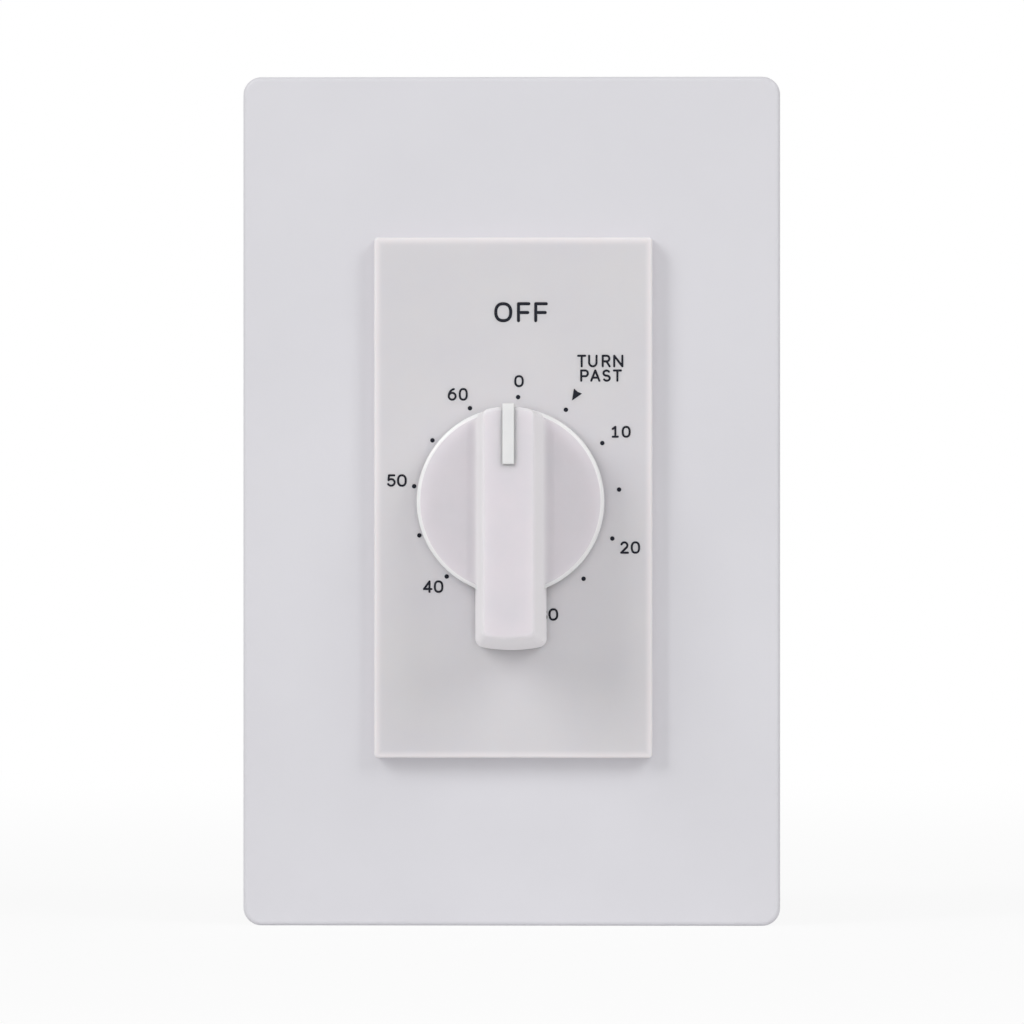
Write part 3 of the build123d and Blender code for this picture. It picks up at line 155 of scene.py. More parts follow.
def surface(
    name, pale, deep, cloud_mm, grain_mm, grain_rise_mm, roughness, metal=0.0, run=(1.0, 1.0, 1.0), **more
):
    """Colour that drifts between two tones, over a fine grain that can be drawn out along a direction."""
    material = bpy.data.materials.new(name)
    tree = empty_tree(material)
    place = add(tree, "ShaderNodeTexCoord").outputs["Object"]
    clouds = add(
        tree, "ShaderNodeTexNoise", None,
        {"Vector": place, "Scale": 1 / (cloud_mm * MM), "Detail": 3.0, "Roughness": 0.55},
    )
    spread = add(
        tree, "ShaderNodeMapRange", None,
        {"Value": clouds.outputs["Fac"], "From Min": noise_low, "From Max": noise_high},
    )
    tone = add(
        tree, "ShaderNodeMix", {"data_type": "RGBA"},
        {"Factor": spread.outputs["Result"], 6: linear(pale), 7: linear(deep)},
    )
    drawn = add(tree, "ShaderNodeMapping", None, {"Vector": place, "Scale": run})
    grain = add(
        tree, "ShaderNodeTexNoise", None,
        {"Vector": drawn.outputs["Vector"], "Scale": 1 / (grain_mm * MM), "Detail": 2.0},
    )
    rough = add(
        tree, "ShaderNodeMapRange", None,
        {
            "Value": grain.outputs["Fac"],
            "From Min": noise_low,
            "From Max": noise_high,
            "To Min": roughness - roughness_swing,
            "To Max": roughness + roughness_swing,
        },
    )
    relief = add(
        tree, "ShaderNodeBump", None,
        {"Height": grain.outputs["Fac"], "Distance": grain_rise_mm * MM, "Strength": 1.0},
    )
    shader = add(
        tree, "ShaderNodeBsdfPrincipled", None,
        {
            "Base Color": tone.outputs[2],
            "Roughness": rough.outputs["Result"],
            "Normal": relief.outputs["Normal"],
            "Metallic": metal,
            **more,
        },
    )
    add(tree, "ShaderNodeOutputMaterial", None, {"Surface": shader.outputs["BSDF"]})
    return Finish(material, tree, shader, tone.outputs[2])


def milky(weight, depth_mm, tint):
    """Light that spreads inside a plastic: its share, its depth, and how far red, green and blue each go."""
    return {"Subsurface Weight": weight, "Subsurface Scale": depth_mm * MM, "Subsurface Radius": tint}


def recolour(finish, share, colour):
    """Mixes another colour into a finish, where a mask asks for it."""
    mixed = add(
        finish.tree, "ShaderNodeMix", {"data_type": "RGBA"},
        {"Factor": share, 6: finish.tone, 7: linear(colour)},
    )
    finish.tree.links.new(mixed.outputs[2], finish.shader.inputs["Base Color"])


def painted_rim_light(finish, low, high, band_mm, warm):
    """Painted light: a warm, pale band painted into the colour inside a thin translucent moulding's edges, in
    place of light that comes in through its sides.
    """
    tree = finish.tree
    place = add(tree, "ShaderNodeTexCoord").outputs["Object"]
    parts = add(tree, "ShaderNodeSeparateXYZ", None, {"Vector": place})
    sides = []
    for index, axis in ((0, "X"), (2, "Z")):
        middle = (low[index] + high[index]) / 2 * MM
        half = (high[index] - low[index]) / 2 * MM
        off = add(tree, "ShaderNodeMath", {"operation": "SUBTRACT"}, {0: parts.outputs[axis], 1: middle})
        away = add(tree, "ShaderNodeMath", {"operation": "ABSOLUTE"}, {0: off.outputs[0]})
        sides.append(add(tree, "ShaderNodeMath", {"operation": "SUBTRACT"}, {0: half, 1: away.outputs[0]}))
    inset = add(
        tree, "ShaderNodeMath", {"operation": "MINIMUM"}, {0: sides[0].outputs[0], 1: sides[1].outputs[0]}
    )
    band = add(
        tree, "ShaderNodeMapRange", {"interpolation_type": "SMOOTHERSTEP"},
        {"Value": inset.outputs[0], "From Min": 0.0, "From Max": band_mm * MM, "To Min": 1.0, "To Max": 0.0},
    )
    # Painted light: the warm pale colour is painted into the band
    recolour(finish, band.outputs["Result"], warm)


def soft_walls(finish, lean):
    """Light that spreads inside milky plastic shades its side walls as if they leaned towards the front."""
    tree = finish.tree
    front = add(
        tree, "ShaderNodeVectorTransform",
        {"vector_type": "VECTOR", "convert_from": "OBJECT", "convert_to": "WORLD"},
        {"Vector": (0.0, -lean, 0.0)},
    )
    facing = add(tree, "ShaderNodeNewGeometry").outputs["Normal"]
    leaned = add(tree, "ShaderNodeVectorMath", {"operation": "ADD"}, {0: facing, 1: front.outputs["Vector"]})
    even = add(tree, "ShaderNodeVectorMath", {"operation": "NORMALIZE"}, {0: leaned.outputs["Vector"]})
    relief = finish.shader.inputs["Normal"].links[0].from_node
    tree.links.new(even.outputs["Vector"], relief.inputs["Normal"])


def painted_wall_light(finish, pale, on_walls, rim_r, face_y, band_mm):
    """Painted light: a pale colour painted on a milky moulding's walls that run back from its front and in a
    band inside its disc's rim, in place of light through the thin plastic; the walls also take their own
    subsurface and specular values.
    """
    # Shares of facing the front: all wall up to the first, no wall past grip_turn, or disc_turn on the disc
    wall_turn, grip_turn, disc_turn = 0.15, 0.96, 0.25
    tree = finish.tree
    spot = add(tree, "ShaderNodeTexCoord").outputs
    facing = add(tree, "ShaderNodeSeparateXYZ", None, {"Vector": spot["Normal"]})
    ahead = add(tree, "ShaderNodeMath", {"operation": "ABSOLUTE"}, {0: facing.outputs["Y"]})
    level = add(tree, "ShaderNodeSeparateXYZ", None, {"Vector": spot["Object"]})
    on_disc = add(tree, "ShaderNodeMath", {"operation": "GREATER_THAN"}, {0: level.outputs["Y"], 1: face_y})
    no_wall = add(
        tree, "ShaderNodeMapRange", None,
        {"Value": on_disc.outputs[0], "To Min": grip_turn, "To Max": disc_turn},
    )
    wall = add(
        tree, "ShaderNodeMapRange", {"interpolation_type": "SMOOTHSTEP"},
        {
            "Value": ahead.outputs[0],
            "From Min": wall_turn,
            "From Max": no_wall.outputs["Result"],
            "To Min": 1.0,
            "To Max": 0.0,
        },
    )
    flat = add(
        tree, "ShaderNodeVectorMath", {"operation": "MULTIPLY"}, {0: spot["Object"], 1: (1.0, 0.0, 1.0)}
    )
    out = add(tree, "ShaderNodeVectorMath", {"operation": "LENGTH"}, {0: flat.outputs["Vector"]})
    band = add(
        tree, "ShaderNodeMapRange", {"interpolation_type": "SMOOTHSTEP"},
        {
            "Value": out.outputs["Value"],
            "From Min": rim_r - band_mm * MM,
            "From Max": rim_r,
            "To Min": 0.0,
            "To Max": on_disc.outputs[0],
        },
    )
    painted_glow = add(
        tree, "ShaderNodeMath", {"operation": "MAXIMUM"},
        {0: wall.outputs["Result"], 1: band.outputs["Result"]},
    )
    # Painted light: the pale colour is painted where the walls and the disc's rim band are
    recolour(finish, painted_glow.outputs[0], pale)
    for name, value in on_walls.items():
        socket = finish.shader.inputs[name]
        share = add(
            tree, "ShaderNodeMapRange", None,
            {"Value": wall.outputs["Result"], "To Min": socket.default_value, "To Max": value},
        )
        tree.links.new(share.outputs["Result"], socket)


def turned_rings(finish, spacing_mm, rise_mm):
    """Lathe marks: rings round the axis that the shaft was turned on, which runs along y."""
    place = add(finish.tree, "ShaderNodeTexCoord").outputs["Object"]
    rings = add(
        finish.tree, "ShaderNodeTexWave", {"wave_type": "BANDS", "bands_direction": "Y"},
        {"Vector": place, "Scale": 1 / (spacing_mm * MM) / wave_bands, "Distortion": 0.6, "Detail": 1.0},
    )
    relief = add(
        finish.tree, "ShaderNodeBump", None,
        {"Height": rings.outputs["Fac"], "Distance": rise_mm * MM, "Strength": 1.0},
    )
    finish.tree.links.new(relief.outputs["Normal"], finish.shader.inputs["Normal"])


# Injection moulded polycarbonate from a spark-eroded mould: a cool matt white with hardly any clouds
plate_finish = surface(
    "moulded_polycarbonate", "#DFDEE3", "#DCDBE0",
    cloud_mm=22, grain_mm=0.35, grain_rise_mm=0.006, roughness=0.46, IOR=1.58,
)
# Injection moulded translucent acetal: milky and a little grey, so its shadows are soft; the light at its rim
# is a painted warm pale band
dial_finish = surface(
    "moulded_acetal_dial", "#DEDCDE", "#DBD9DD",
    cloud_mm=11, grain_mm=0.3, grain_rise_mm=0.004, roughness=0.42, IOR=1.48,
    **milky(0.6, 1.6, (1.0, 0.9, 0.86)),
)
# Painted light: a warm pale band painted inside the dial's edges, in place of light coming in through its
# sides
painted_rim_light(dial_finish, dial_low, dial_high, dial_painted_rim_band, "#EEE9EB")
# Injection moulded polypropylene from a polished mould: milky, satin, thin walls that let light through
knob_finish = surface(
    "moulded_polypropylene", "#E8E2E7", "#E3DFE4",
    cloud_mm=7, grain_mm=0.4, grain_rise_mm=0.002, roughness=0.20, IOR=1.49,
    **milky(1.0, 2.2, (1.0, 0.95, 0.95)),
    **{"Sheen Weight": 0.8, "Sheen Roughness": 0.35, "Sheen Tint": (1.0, 0.98, 1.0, 1.0)},
)
knob_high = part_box("knob")[1]
# Painted light: the knob's walls and a band inside its disc's rim are painted paler, in place of light that
# comes through the thin plastic
painted_wall_light(
    knob_finish,
    "#FFFBFE",
    {"Subsurface Weight": 0.2, "Specular IOR Level": 0.05},
    rim_r=knob_high.x,
    face_y=knob_high.y - disc_rise * MM,
    band_mm=disc_painted_rim_band,
)
soft_walls(knob_finish, lean=0.3)
# The pointer strip is the same plastic with far more white pigment: the brightest spot on the front
pointer_finish = surface(
    "pigmented_polypropylene", "#EEEEEE", "#EBEBEC",
    cloud_mm=3, grain_mm=0.3, grain_rise_mm=0.003, roughness=0.32, IOR=1.49,
    **milky(0.5, 1.0, (1.0, 0.95, 0.92)),
)
soft_walls(pointer_finish, lean=0.9)
# Moulded nylon, undyed: an ivory that is warmer than the cover in front of it, and matt
adapter_finish = surface(
    "moulded_nylon", "#DAD7CC", "#D2CEC1",
    cloud_mm=9, grain_mm=0.35, grain_rise_mm=0.01, roughness=0.55, IOR=1.53,
)
# Cold rolled steel with bright zinc plating: cool grey, faint rolling lines up the strap
zinc_finish = surface(
    "zinc_plated_steel", "#C6CACE", "#AEB4BC",
    cloud_mm=6, grain_mm=0.25, grain_rise_mm=0.004, roughness=0.34, metal=1.0, run=(1.0, 1.0, 0.06),
)
# Vulcanised fibre: paper pressed hard and dyed red, with short fibres that show as flecks
fibre_finish = surface(
    "vulcanised_fibre", "#8E3A28", "#6E2A1D",
    cloud_mm=0.8, grain_mm=0.18, grain_rise_mm=0.02, roughness=0.62, IOR=1.52,
)
# Steel screw with green passivation: a thin dyed film over metal
ground_finish = surface(
    "green_passivated_steel", "#3E8F55", "#2C6E42",
    cloud_mm=1.2, grain_mm=0.15, grain_rise_mm=0.006, roughness=0.38, metal=0.6,
)
# Glass-filled nylon housing: near black, matt, with pale glass fibres that reach the skin
case_finish = surface(
    "glass_filled_nylon", "#2B2C2F", "#38393C",
    cloud_mm=0.9, grain_mm=0.22, grain_rise_mm=0.018, roughness=0.58, IOR=1.53,
)
# Half-hard brass, rolled, stamped and tumbled: warm yellow with fine rolling lines
brass_finish = surface(
    "rolled_brass", "#D9B667", "#BF9646",
    cloud_mm=3, grain_mm=0.16, grain_rise_mm=0.005, roughness=0.30, metal=1.0, run=(0.08, 1.0, 1.0),
)
# Free-cutting steel, turned on a lathe: bright grey rings, drawn coarser than feed marks so that they show
turned_finish = surface(
    "turned_steel", "#B9BCC0", "#9DA1A6",
    cloud_mm=2, grain_mm=0.2, grain_rise_mm=0.003, roughness=0.28, metal=1.0,
)
turned_rings(turned_finish, spacing_mm=1.131, rise_mm=0.004)
# Spring steel, hardened and blued: dark, smooth, from slate to straw where the heat varied
spring_finish = surface(
    "blued_spring_steel", "#48566B", "#5B5148",
    cloud_mm=2.5, grain_mm=0.2, grain_rise_mm=0.002, roughness=0.26, metal=1.0,
)
# Unfilled acetal cam: creamy, slightly waxy
cam_finish = surface(
    "moulded_acetal_cam", "#E4E0D2", "#DBD6C6",
    cloud_mm=4, grain_mm=0.25, grain_rise_mm=0.005, roughness=0.40, IOR=1.48,
    **milky(0.2, 0.8, (1.0, 0.9, 0.8)),
)
# Compression moulded phenolic: brown-black with a mottle of wood flour
block_finish = surface(
    "moulded_phenolic", "#3B2A22", "#4A352B",
    cloud_mm=0.7, grain_mm=0.2, grain_rise_mm=0.012, roughness=0.48, IOR=1.6,
)
# Rolled phosphor bronze strip: redder than the brass, springy and smooth
bronze_finish = surface(
    "phosphor_bronze", "#C98E5B", "#AE7445",
    cloud_mm=2, grain_mm=0.14, grain_rise_mm=0.003, roughness=0.28, metal=1.0, run=(0.1, 1.0, 1.0),
)
# Silver contact rivets, headed cold: soft white metal with a faint tarnish
silver_finish = surface(
    "fine_silver", "#DEDCD6", "#C9C4B8",
    cloud_mm=0.6, grain_mm=0.12, grain_rise_mm=0.003, roughness=0.24, metal=1.0,
)
# Brass terminals, stamped: as the movement's brass but duller from handling
terminal_finish = surface(
    "stamped_brass", "#CFAB5E", "#A98643",
    cloud_mm=1.5, grain_mm=0.14, grain_rise_mm=0.006, roughness=0.36, metal=1.0, run=(1.0, 1.0, 0.1),
)
# Pad-printed ink: near black with a navy tint, a satin film that stands on the plastic
ink_finish = surface(
    "pad_printed_ink", "#12151F", "#181B27",
    cloud_mm=0.5, grain_mm=0.08, grain_rise_mm=0.003, roughness=0.55, **{"Specular IOR Level": 0.2},
)

slot_finishes = {
    "plate_plastic": plate_finish,
    "dial_plastic": dial_finish,
    "knob_plastic": knob_finish,
    "pointer_plastic": pointer_finish,
    "adapter_plastic": adapter_finish,
    "zinc_steel": zinc_finish,
    "retainer_fibre": fibre_finish,
    "ground_paint": ground_finish,
    "case_plastic": case_finish,
    "movement_brass": brass_finish,
    "turned_steel": turned_finish,
    "spring_steel": spring_finish,
    "cam_plastic": cam_finish,
    "block_plastic": block_finish,
    "blade_bronze": bronze_finish,
    "contact_silver": silver_finish,
    "terminal_brass": terminal_finish,
}
for part in frame["record"]["subparts"]:
    slots = frame["nodes"][part["node"]].data.materials
    slots.clear()
    slots.append(slot_finishes[part["material_slot"]].material)


# ---------------------------------------------------------------- characters, drawn as pen strokes
def curve_part(x, z, wide, high, start, end, steps=14):
    """Points on part of an oval, from one angle to another, in shares of the character's box."""
    turns = [radians(start + (end - start) * i / steps) for i in range(steps + 1)]
    return [(x + wide * cos(t), z + high * sin(t)) for t in turns]


def oval(power, steps=40):
    """A closed oval that fills the character's box; its sides are flattened where the power is above 2."""
    turns = [2 * pi * i / steps for i in range(steps)]
    pulled = [[copysign(abs(share) ** (2 / power), share) for share in (cos(t), sin(t))] for t in turns]
    return [(0.5 + x / 2, 0.5 + z / 2) for x, z in pulled]


# Each character is a list of strokes through its box; a closed stroke is marked True
pen_strokes = {
    "O": [(oval(2.35), True)],
    "F": [([(0, 0), (0, 1)], False), ([(0, 1), (1, 1)], False), ([(0, 0.48), (0.9, 0.48)], False)],
    "T": [([(0, 1), (1, 1)], False), ([(0.5, 0), (0.5, 1)], False)],
    "U": [([(0, 1)] + curve_part(0.5, 0.37, 0.5, 0.37, 180, 360) + [(1, 1)], False)],
    "R": [
        ([(0, 0), (0, 1)], False),
        ([(0, 1)] + curve_part(0.6, 0.735, 0.36, 0.265, 90, -90) + [(0, 0.47)], False),
        ([(0.55, 0.47), (1, 0)], False),
    ],
    "N": [([(0, 0), (0, 1)], False), ([(0, 1), (1, 0)], False), ([(1, 0), (1, 1)], False)],
    "P": [
        ([(0, 0), (0, 1)], False),
        ([(0, 1)] + curve_part(0.62, 0.72, 0.38, 0.28, 90, -90) + [(0, 0.44)], False),
    ],
    "A": [([(0, 0), (0.5, 1)], False), ([(0.5, 1), (1, 0)], False), ([(0.17, 0.3), (0.83, 0.3)], False)],
    "S": [
        (
            curve_part(0.48, 0.745, 0.45, 0.255, 32, 262)
            + curve_part(0.52, 0.245, 0.46, 0.245, 82, -148),
            False,
        )
    ],
    "0": [(oval(2.45), True)],
    "1": [([(0.05, 0.8), (0.55, 1)], False), ([(0.55, 1), (0.55, 0)], False), ([(0.05, 0), (1, 0)], False)],
    "2": [
        (curve_part(0.47, 0.7, 0.45, 0.3, 160, -32), False),
        ([(0.852, 0.541), (0, 0)], False),
        ([(0, 0), (1, 0)], False),
    ],
    "3": [
        (curve_part(0.46, 0.75, 0.42, 0.25, 150, -90), False),
        (curve_part(0.46, 0.25, 0.5, 0.25, 90, -150), False),
    ],
    "4": [([(0.74, 0), (0.74, 1)], False), ([(0.74, 1), (0, 0.27)], False), ([(0, 0.27), (1, 0.27)], False)],
    "5": [
        ([(0.92, 1), (0.14, 1)], False),
        ([(0.14, 1), (0.08, 0.56)], False),
        (curve_part(0.46, 0.32, 0.52, 0.32, 137, -148), False),
    ],
    "6": [
        (curve_part(0.5, 0.32, 0.5, 0.32, 0, 360, steps=32)[:-1], True),
        (curve_part(0.9, 0.32, 0.9, 0.68, 180, 100), False),
    ],
}


def ink_lines(rows, stroke_mm):
    """The middle lines of printed characters as one curve, lying in the plane of the dial's face."""
    lines = bpy.data.curves.new("ink_lines", "CURVE")
    lines.dimensions = "3D"
    half = stroke_mm / 2
    for text, edges, foot, top in rows:
        for character, (left, right) in zip(text, edges):
            for stroke, closed in pen_strokes[character]:
                spline = lines.splines.new("POLY")
                spline.points.add(len(stroke) - 1)
                for point, (across, up) in zip(spline.points, stroke):
                    x = left + half + across * (right - left - stroke_mm)
                    z = foot + half + up * (top - foot - stroke_mm)
                    point.co = (x * MM, 0.0, z * MM, 1.0)
                spline.use_cyclic_u = closed
    return lines


# ---------------------------------------------------------------- what repeats: strokes, dots and threads
def new_tree(name, sizes):
    """A Geometry Nodes tree with a geometry in and out, a material input and named sizes."""
    tree = bpy.data.node_groups.new(name, "GeometryNodeTree")
    tree.interface.new_socket("Geometry", in_out="INPUT", socket_type="NodeSocketGeometry")
    tree.interface.new_socket("Finish", in_out="INPUT", socket_type="NodeSocketMaterial")
    for size, kind in sizes.items():
        tree.interface.new_socket(size, in_out="INPUT", socket_type=kind)
    tree.interface.new_socket("Geometry", in_out="OUTPUT", socket_type="NodeSocketGeometry")
    return tree, add(tree, "NodeGroupInput").outputs


def close_tree(tree, given, made):
    """Every tree ends by making its copies real, then giving them their finish."""
    real = add(tree, "GeometryNodeRealizeInstances", None, {"Geometry": made})
    finished = add(
        tree, "GeometryNodeSetMaterial", None,
        {"Geometry": real.outputs["Geometry"], "Material": given["Finish"]},
    )
    add(tree, "NodeGroupOutput", None, {"Geometry": finished.outputs["Geometry"]})
    return tree


def pen_tree():
    """A round pen drawn along each line with a ball at both ends, pressed flat into a thin film of ink."""
    tree, given = new_tree(
        "pen_strokes",
        {"Stroke": "NodeSocketFloat", "Ink rise": "NodeSocketFloat", "Face y": "NodeSocketFloat"},
    )
    pen_r = add(tree, "ShaderNodeMath", {"operation": "MULTIPLY"}, {0: given["Stroke"], 1: 0.5}).outputs[0]
    pen = add(tree, "GeometryNodeCurvePrimitiveCircle", None, {"Resolution": 12, "Radius": pen_r})
    drawn = add(
        tree, "GeometryNodeCurveToMesh", None,
        {"Curve": given["Geometry"], "Profile Curve": pen.outputs["Curve"]},
    )
    ends = add(tree, "GeometryNodeCurveEndpointSelection", None, {"Start Size": 1, "End Size": 1})
    ball = add(tree, "GeometryNodeMeshUVSphere", None, {"Segments": 16, "Rings": 8, "Radius": pen_r})
    balls = add(
        tree, "GeometryNodeInstanceOnPoints", None,
        {
            "Points": given["Geometry"],
            "Selection": ends.outputs["Selection"],
            "Instance": ball.outputs["Mesh"],
        },
    )
    both = add(tree, "GeometryNodeJoinGeometry", None, {"Geometry": drawn.outputs["Mesh"]})
    tree.links.new(balls.outputs["Instances"], both.inputs["Geometry"])
    flat = add(tree, "ShaderNodeMath", {"operation": "DIVIDE"}, {0: given["Ink rise"], 1: pen_r}).outputs[0]
    press = add(tree, "ShaderNodeCombineXYZ", None, {"X": 1.0, "Y": flat, "Z": 1.0})
    onto = add(tree, "ShaderNodeCombineXYZ", None, {"Y": given["Face y"]})
    laid = add(
        tree, "GeometryNodeTransform", None,
        {
            "Geometry": both.outputs["Geometry"],
            "Scale": press.outputs["Vector"],
            "Translation": onto.outputs["Vector"],
        },
    )
    return close_tree(tree, given, laid.outputs["Geometry"])


def dot_tree():
    """Minute dots spaced evenly round a ring that lies on the dial's face."""
    tree, given = new_tree(
        "minute_dots",
        {
            "Count": "NodeSocketInt",
            "Ring radius": "NodeSocketFloat",
            "Dot radius": "NodeSocketFloat",
            "Ink rise": "NodeSocketFloat",
            "Ring turn": "NodeSocketFloat",
            "Centre": "NodeSocketVector",
        },
    )
    ring = add(
        tree, "GeometryNodeMeshCircle", {"fill_type": "NONE"},
        {"Vertices": given["Count"], "Radius": given["Ring radius"]},
    )
    ball = add(
        tree, "GeometryNodeMeshUVSphere", None, {"Segments": 24, "Rings": 12, "Radius": given["Dot radius"]}
    )
    flat = add(
        tree, "ShaderNodeMath", {"operation": "DIVIDE"}, {0: given["Ink rise"], 1: given["Dot radius"]}
    ).outputs[0]
    press = add(tree, "ShaderNodeCombineXYZ", None, {"X": 1.0, "Y": 1.0, "Z": flat})
    pressed = add(
        tree, "GeometryNodeTransform", None,
        {"Geometry": ball.outputs["Mesh"], "Scale": press.outputs["Vector"]},
    )
    dots = add(
        tree, "GeometryNodeInstanceOnPoints", None,
        {"Points": ring.outputs["Mesh"], "Instance": pressed.outputs["Geometry"]},
    )
    upright = add(tree, "ShaderNodeCombineXYZ", None, {"X": pi / 2, "Y": given["Ring turn"]})
    stood = add(
        tree, "GeometryNodeTransform", None,
        {
            "Geometry": dots.outputs["Instances"],
            "Rotation": upright.outputs["Vector"],
            "Translation": given["Centre"],
        },
    )
    return close_tree(tree, given, stood.outputs["Geometry"])


def thread_tree():
    """A screw thread's ridge wound up each screw, from the point where its thread starts."""
    tree, given = new_tree(
        "screw_threads",
        {
            "Screw radius": "NodeSocketFloat",
            "Pitch": "NodeSocketFloat",
            "Ridge": "NodeSocketFloat",
            "Length": "NodeSocketFloat",
            "Turn": "NodeSocketVector",
        },
    )
    turns = add(
        tree, "ShaderNodeMath", {"operation": "DIVIDE"}, {0: given["Length"], 1: given["Pitch"]}
    ).outputs[0]
    wound = add(
        tree, "GeometryNodeCurveSpiral", None,
        {
            "Resolution": 24,
            "Rotations": turns,
            "Start Radius": given["Screw radius"],
            "End Radius": given["Screw radius"],
            "Height": given["Length"],
        },
    )
    ridge = add(tree, "GeometryNodeCurvePrimitiveCircle", None, {"Resolution": 4, "Radius": given["Ridge"]})
    cut = add(
        tree, "GeometryNodeCurveToMesh", None,
        {"Curve": wound.outputs["Curve"], "Profile Curve": ridge.outputs["Curve"], "Fill Caps": True},
    )
    threads = add(
        tree, "GeometryNodeInstanceOnPoints", None,
        {"Points": given["Geometry"], "Instance": cut.outputs["Mesh"], "Rotation": given["Turn"]},
    )
    return close_tree(tree, given, threads.outputs["Instances"])


def grown(name, data, tree, values, body):
    """Runs a tree on some data and keeps the result as a plain mesh that rides on a body."""
    source = link_object("source_" + name, data)
    modifier = source.modifiers.new("grown", "NODES")
    modifier.node_group = tree
    sockets = {s.name: s.identifier for s in tree.interface.items_tree if s.in_out == "INPUT"}
    for size, value in values.items():
        modifier[sockets[size]] = value
    bpy.context.view_layer.update()
    evaluated = source.evaluated_get(bpy.context.evaluated_depsgraph_get())
    piece = link_object(name, bpy.data.meshes.new_from_object(evaluated))
    source.modifiers.clear()
    bpy.data.objects.remove(source)
    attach(piece, body)


pen = pen_tree()
for name, rows, stroke in [
    ("print_off", off_word, word_stroke),
    ("print_turn_past", turn_past_words, small_word_stroke),
    ("print_minutes", minute_numbers, number_stroke),
]:
    pen_sizes = {
        "Finish": ink_finish.material,
        "Stroke": stroke * MM,
        "Ink rise": ink_rise * MM,
        "Face y": dial_face_y * MM,
    }
    grown(name, ink_lines(rows, stroke), pen, pen_sizes, "switch_housing")

# The ring is made with its first dot on x and is turned to put a dot over the pointer
dot_sizes = {
    "Finish": ink_finish.material,
    "Count": dot_count,
    "Ring radius": dot_ring_r * MM,
    "Dot radius": dot_r * MM,
    "Ink rise": ink_rise * MM,
    "Ring turn": radians(dot_ring_turn - 90),
    "Centre": (dot_ring_x * MM, dial_face_y * MM, dot_ring_z * MM),
}
grown("print_dots", bpy.data.meshes.new("dots"), dot_tree(), dot_sizes, "switch_housing")

winding = thread_tree()


def threaded(name, starts, length, turn, finish):
    """Thread ridges on a screw's plain shank, from each start point on; length and points in metres."""
    points = bpy.data.meshes.new("starts")
    points.from_pydata([tuple(start) for start in starts], [], [])
    thread_sizes = {
        "Finish": finish.material,
        "Screw radius": (screw_r - thread_root) * MM,
        "Pitch": thread_pitch * MM,
        "Ridge": thread_ridge * MM,
        "Length": length,
        "Turn": turn,
    }
    grown(name, points, winding, thread_sizes, "switch_housing")


along_y = (radians(-90), 0.0, 0.0)
along_x = (0.0, radians(90), 0.0)
box_low, box_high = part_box("box_screws")
head_r = (box_high.x - box_low.x) / 2
box_screw_zs = (box_low.z + head_r, box_high.z - head_r)
box_thread_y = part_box("screw_retainers")[1].y + thread_lead * MM
threaded(
    "box_screw_threads",
    [(0.0, box_thread_y, z) for z in box_screw_zs],
    box_high.y - thread_lead * MM - box_thread_y,
    along_y,
    zinc_finish,
)
ground_low, ground_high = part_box("ground_screw")
ground_thread_x = ground_high.x - ground_thread_length * MM
threaded(
    "ground_screw_thread",
    [(ground_thread_x, (ground_low.y + ground_high.y) / 2, (ground_low.z + ground_high.z) / 2)],
    (ground_thread_length - thread_lead) * MM,
    along_x,
    ground_finish,
)


def filled_print(name, corners, soft_mm):
    """A filled printed shape with softly rounded corners, as a thin film on the dial's face."""
    outline = bpy.data.curves.new(name, "CURVE")
    outline.dimensions = "2D"
    outline.fill_mode = "BOTH"
    outline.extrude = ink_rise * MM
    spline = outline.splines.new("POLY")
    points = []
    for i, here in enumerate(corners):
        before, after = corners[i - 1], corners[(i + 1) % len(corners)]
        inward = [Vector(p) - Vector(here) for p in (before, after)]
        a, b = [Vector(here) + step.normalized() * soft_mm for step in inward]
        points += [a, (a + b + 2 * Vector(here)) / 4, b]
    spline.points.add(len(points) - 1)
    for point, (x, z) in zip(spline.points, points):
        point.co = (x * MM, z * MM, 0.0, 1.0)
    spline.use_cyclic_u = True
    drawn = link_object("source_" + name, outline)
    bpy.context.view_layer.update()
    mesh = bpy.data.meshes.new_from_object(drawn.evaluated_get(bpy.context.evaluated_depsgraph_get()))
    bpy.data.objects.remove(drawn)
    for vertex in mesh.vertices:
        x, z, lift = vertex.co
        vertex.co = (x, dial_face_y * MM - lift, z)
    mesh.materials.clear()
    mesh.materials.append(ink_finish.material)
    piece = link_object(name, mesh)
    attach(piece, "switch_housing")


filled_print("print_arrow", arrow_corners, arrow_softness)


# ---------------------------------------------------------------- floor, sky, light and camera, in metres
floor_reach = 4.0
shadow_near, shadow_far = 0.1, 0.7
white_near, white_far = 0.90, 1.0
room_light = 0.40

# Each soft box: its place, its width, its height and its watts
soft_boxes = {
    "upper_left_soft_box": ((-1.75, -1.75, 1.45), 1.00, 1.50, 26.9),
    "upper_right_soft_box": ((1.60, -1.75, 1.55), 1.00, 1.50, 18.3),
    "front_soft_box": ((0.0, -2.30, 0.40), 1.40, 0.80, 3.4),
}

# A long lens, almost square on: the camera stands a little over a degree to the right
camera_distance = 1.2
camera_yaw = radians(1.3)
aim_x, aim_z = 0.00007, -0.00150


def plain_view(tree):
    """1 where the camera, a reflection or glass sees a surface, 0 for light that falls on the object."""
    path = add(tree, "ShaderNodeLightPath").outputs
    seen = add(
        tree, "ShaderNodeMath", {"operation": "MAXIMUM"}, {0: path["Is Camera Ray"], 1: path["Is Glossy Ray"]}
    )
    through = add(
        tree, "ShaderNodeMath", {"operation": "MAXIMUM"}, {0: seen.outputs[0], 1: path["Is Transmission Ray"]}
    )
    return through.outputs[0]


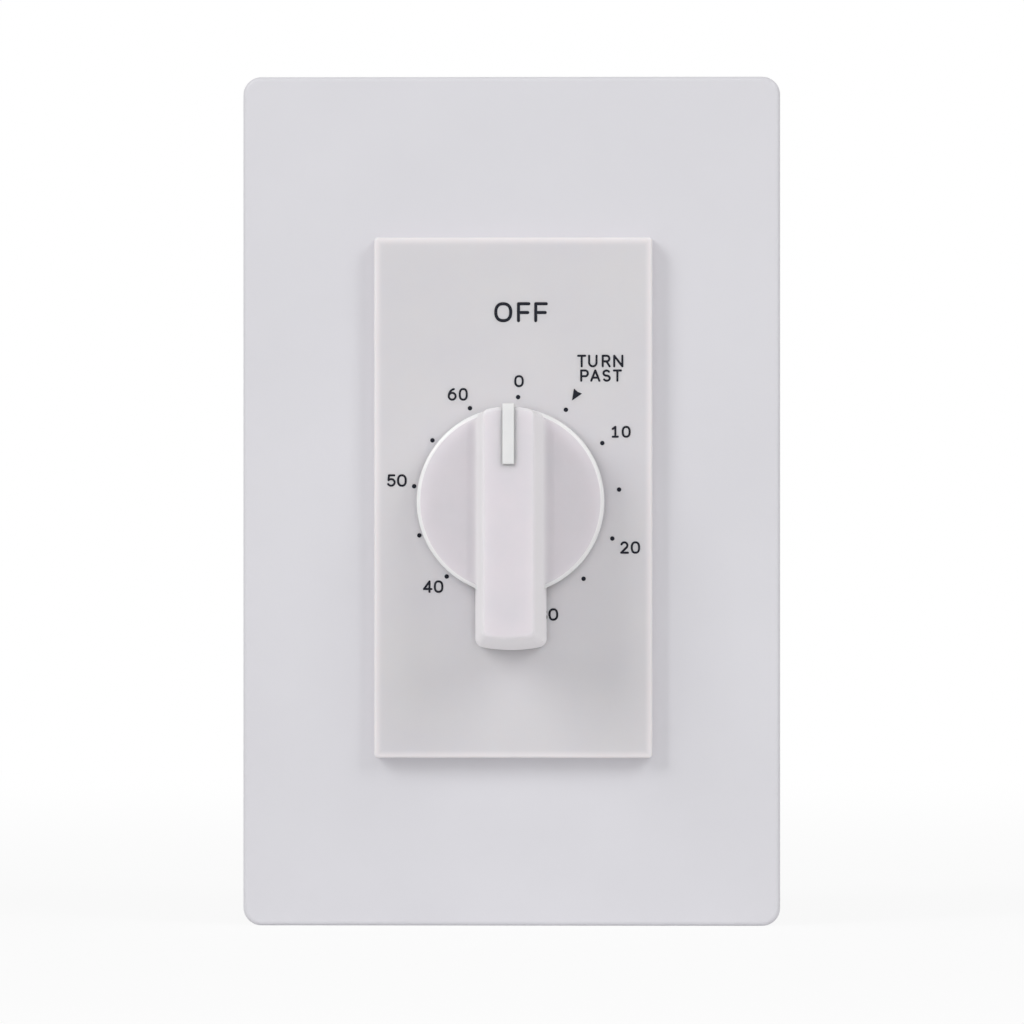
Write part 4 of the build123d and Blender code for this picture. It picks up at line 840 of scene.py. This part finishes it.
def backdrop_finish():
    """Seamless white paper: plain white to the camera and in reflections, with the object's shadow kept."""
    material = bpy.data.materials.new("seamless_paper")
    tree = empty_tree(material)
    place = add(tree, "ShaderNodeTexCoord").outputs["Object"]
    fibres = add(tree, "ShaderNodeTexNoise", None, {"Vector": place, "Scale": 60.0, "Detail": 4.0})
    tone = add(
        tree, "ShaderNodeMix", {"data_type": "RGBA"},
        {"Factor": fibres.outputs["Fac"], 6: linear("#F4F4F4"), 7: linear("#F0F0F0")},
    )
    paper = add(tree, "ShaderNodeBsdfDiffuse", None, {"Color": tone.outputs[2]})
    white = add(tree, "ShaderNodeEmission", None, {"Strength": 1.0})
    spread = add(tree, "ShaderNodeVectorMath", {"operation": "LENGTH"}, {0: place})
    whiteness = add(
        tree, "ShaderNodeMapRange", {"interpolation_type": "SMOOTHSTEP"},
        {
            "Value": spread.outputs["Value"],
            "From Min": shadow_near,
            "From Max": shadow_far,
            "To Min": white_near,
            "To Max": white_far,
        },
    )
    share = add(
        tree, "ShaderNodeMath", {"operation": "MULTIPLY"},
        {0: plain_view(tree), 1: whiteness.outputs["Result"]},
    )
    mixed = add(
        tree, "ShaderNodeMixShader", None, {0: share.outputs[0], 1: paper.outputs[0], 2: white.outputs[0]}
    )
    add(tree, "ShaderNodeOutputMaterial", None, {"Surface": mixed.outputs[0]})
    return material


def floor_sheet():
    level = cad_box[0].z
    near, far = -floor_reach, floor_reach
    mesh = bpy.data.meshes.new("floor")
    corners = [(near, near, level), (far, near, level), (far, far, level), (near, far, level)]
    mesh.from_pydata(corners, [], [(0, 1, 2, 3)])
    mesh.materials.append(backdrop_finish())
    floor = link_object("floor", mesh)


def sky_dome():
    """White to the camera and in reflections, and a soft fill from all round on the object."""
    world = bpy.data.worlds.new("studio")
    bpy.context.scene.world = world
    sky = empty_tree(world)
    strength = add(
        sky, "ShaderNodeMapRange", None, {"Value": plain_view(sky), "To Min": room_light, "To Max": 1.0}
    )
    light = add(
        sky, "ShaderNodeBackground", None,
        {"Color": (1.0, 1.0, 1.0, 1.0), "Strength": strength.outputs["Result"]},
    )
    add(sky, "ShaderNodeOutputWorld", None, {"Surface": light.outputs[0]})


def soft_lamp(name, place, aim, width, height, watts):
    """A soft box of a given width and height that faces a point."""
    lamp = bpy.data.lights.new(name, "AREA")
    lamp.shape = "RECTANGLE"
    lamp.size = width
    lamp.size_y = height
    lamp.energy = watts
    stand = link_object(name, lamp)
    stand.location = place
    stand.rotation_euler = (Vector(aim) - Vector(place)).to_track_quat("-Z", "Y").to_euler()


floor_sheet()
sky_dome()
for name, (place, width, height, watts) in soft_boxes.items():
    soft_lamp(name, place, (0.0, dial_face_y * MM, 0.0), width, height, watts)

camera = bpy.data.cameras.new("camera")
camera.lens = 302.5
camera.sensor_width = 36.0
camera.clip_start = 0.01
camera.clip_end = 20.0
camera_object = link_object("camera", camera)
aim = Vector((aim_x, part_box("wall_plate")[0].y, aim_z))
side = Vector((sin(camera_yaw), -cos(camera_yaw), 0.0))
camera_object.location = aim + side * camera_distance
camera_object.rotation_euler = (-side).to_track_quat("-Z", "Y").to_euler()
bpy.context.scene.camera = camera_object
bpy.context.scene.view_settings.view_transform = "Standard"
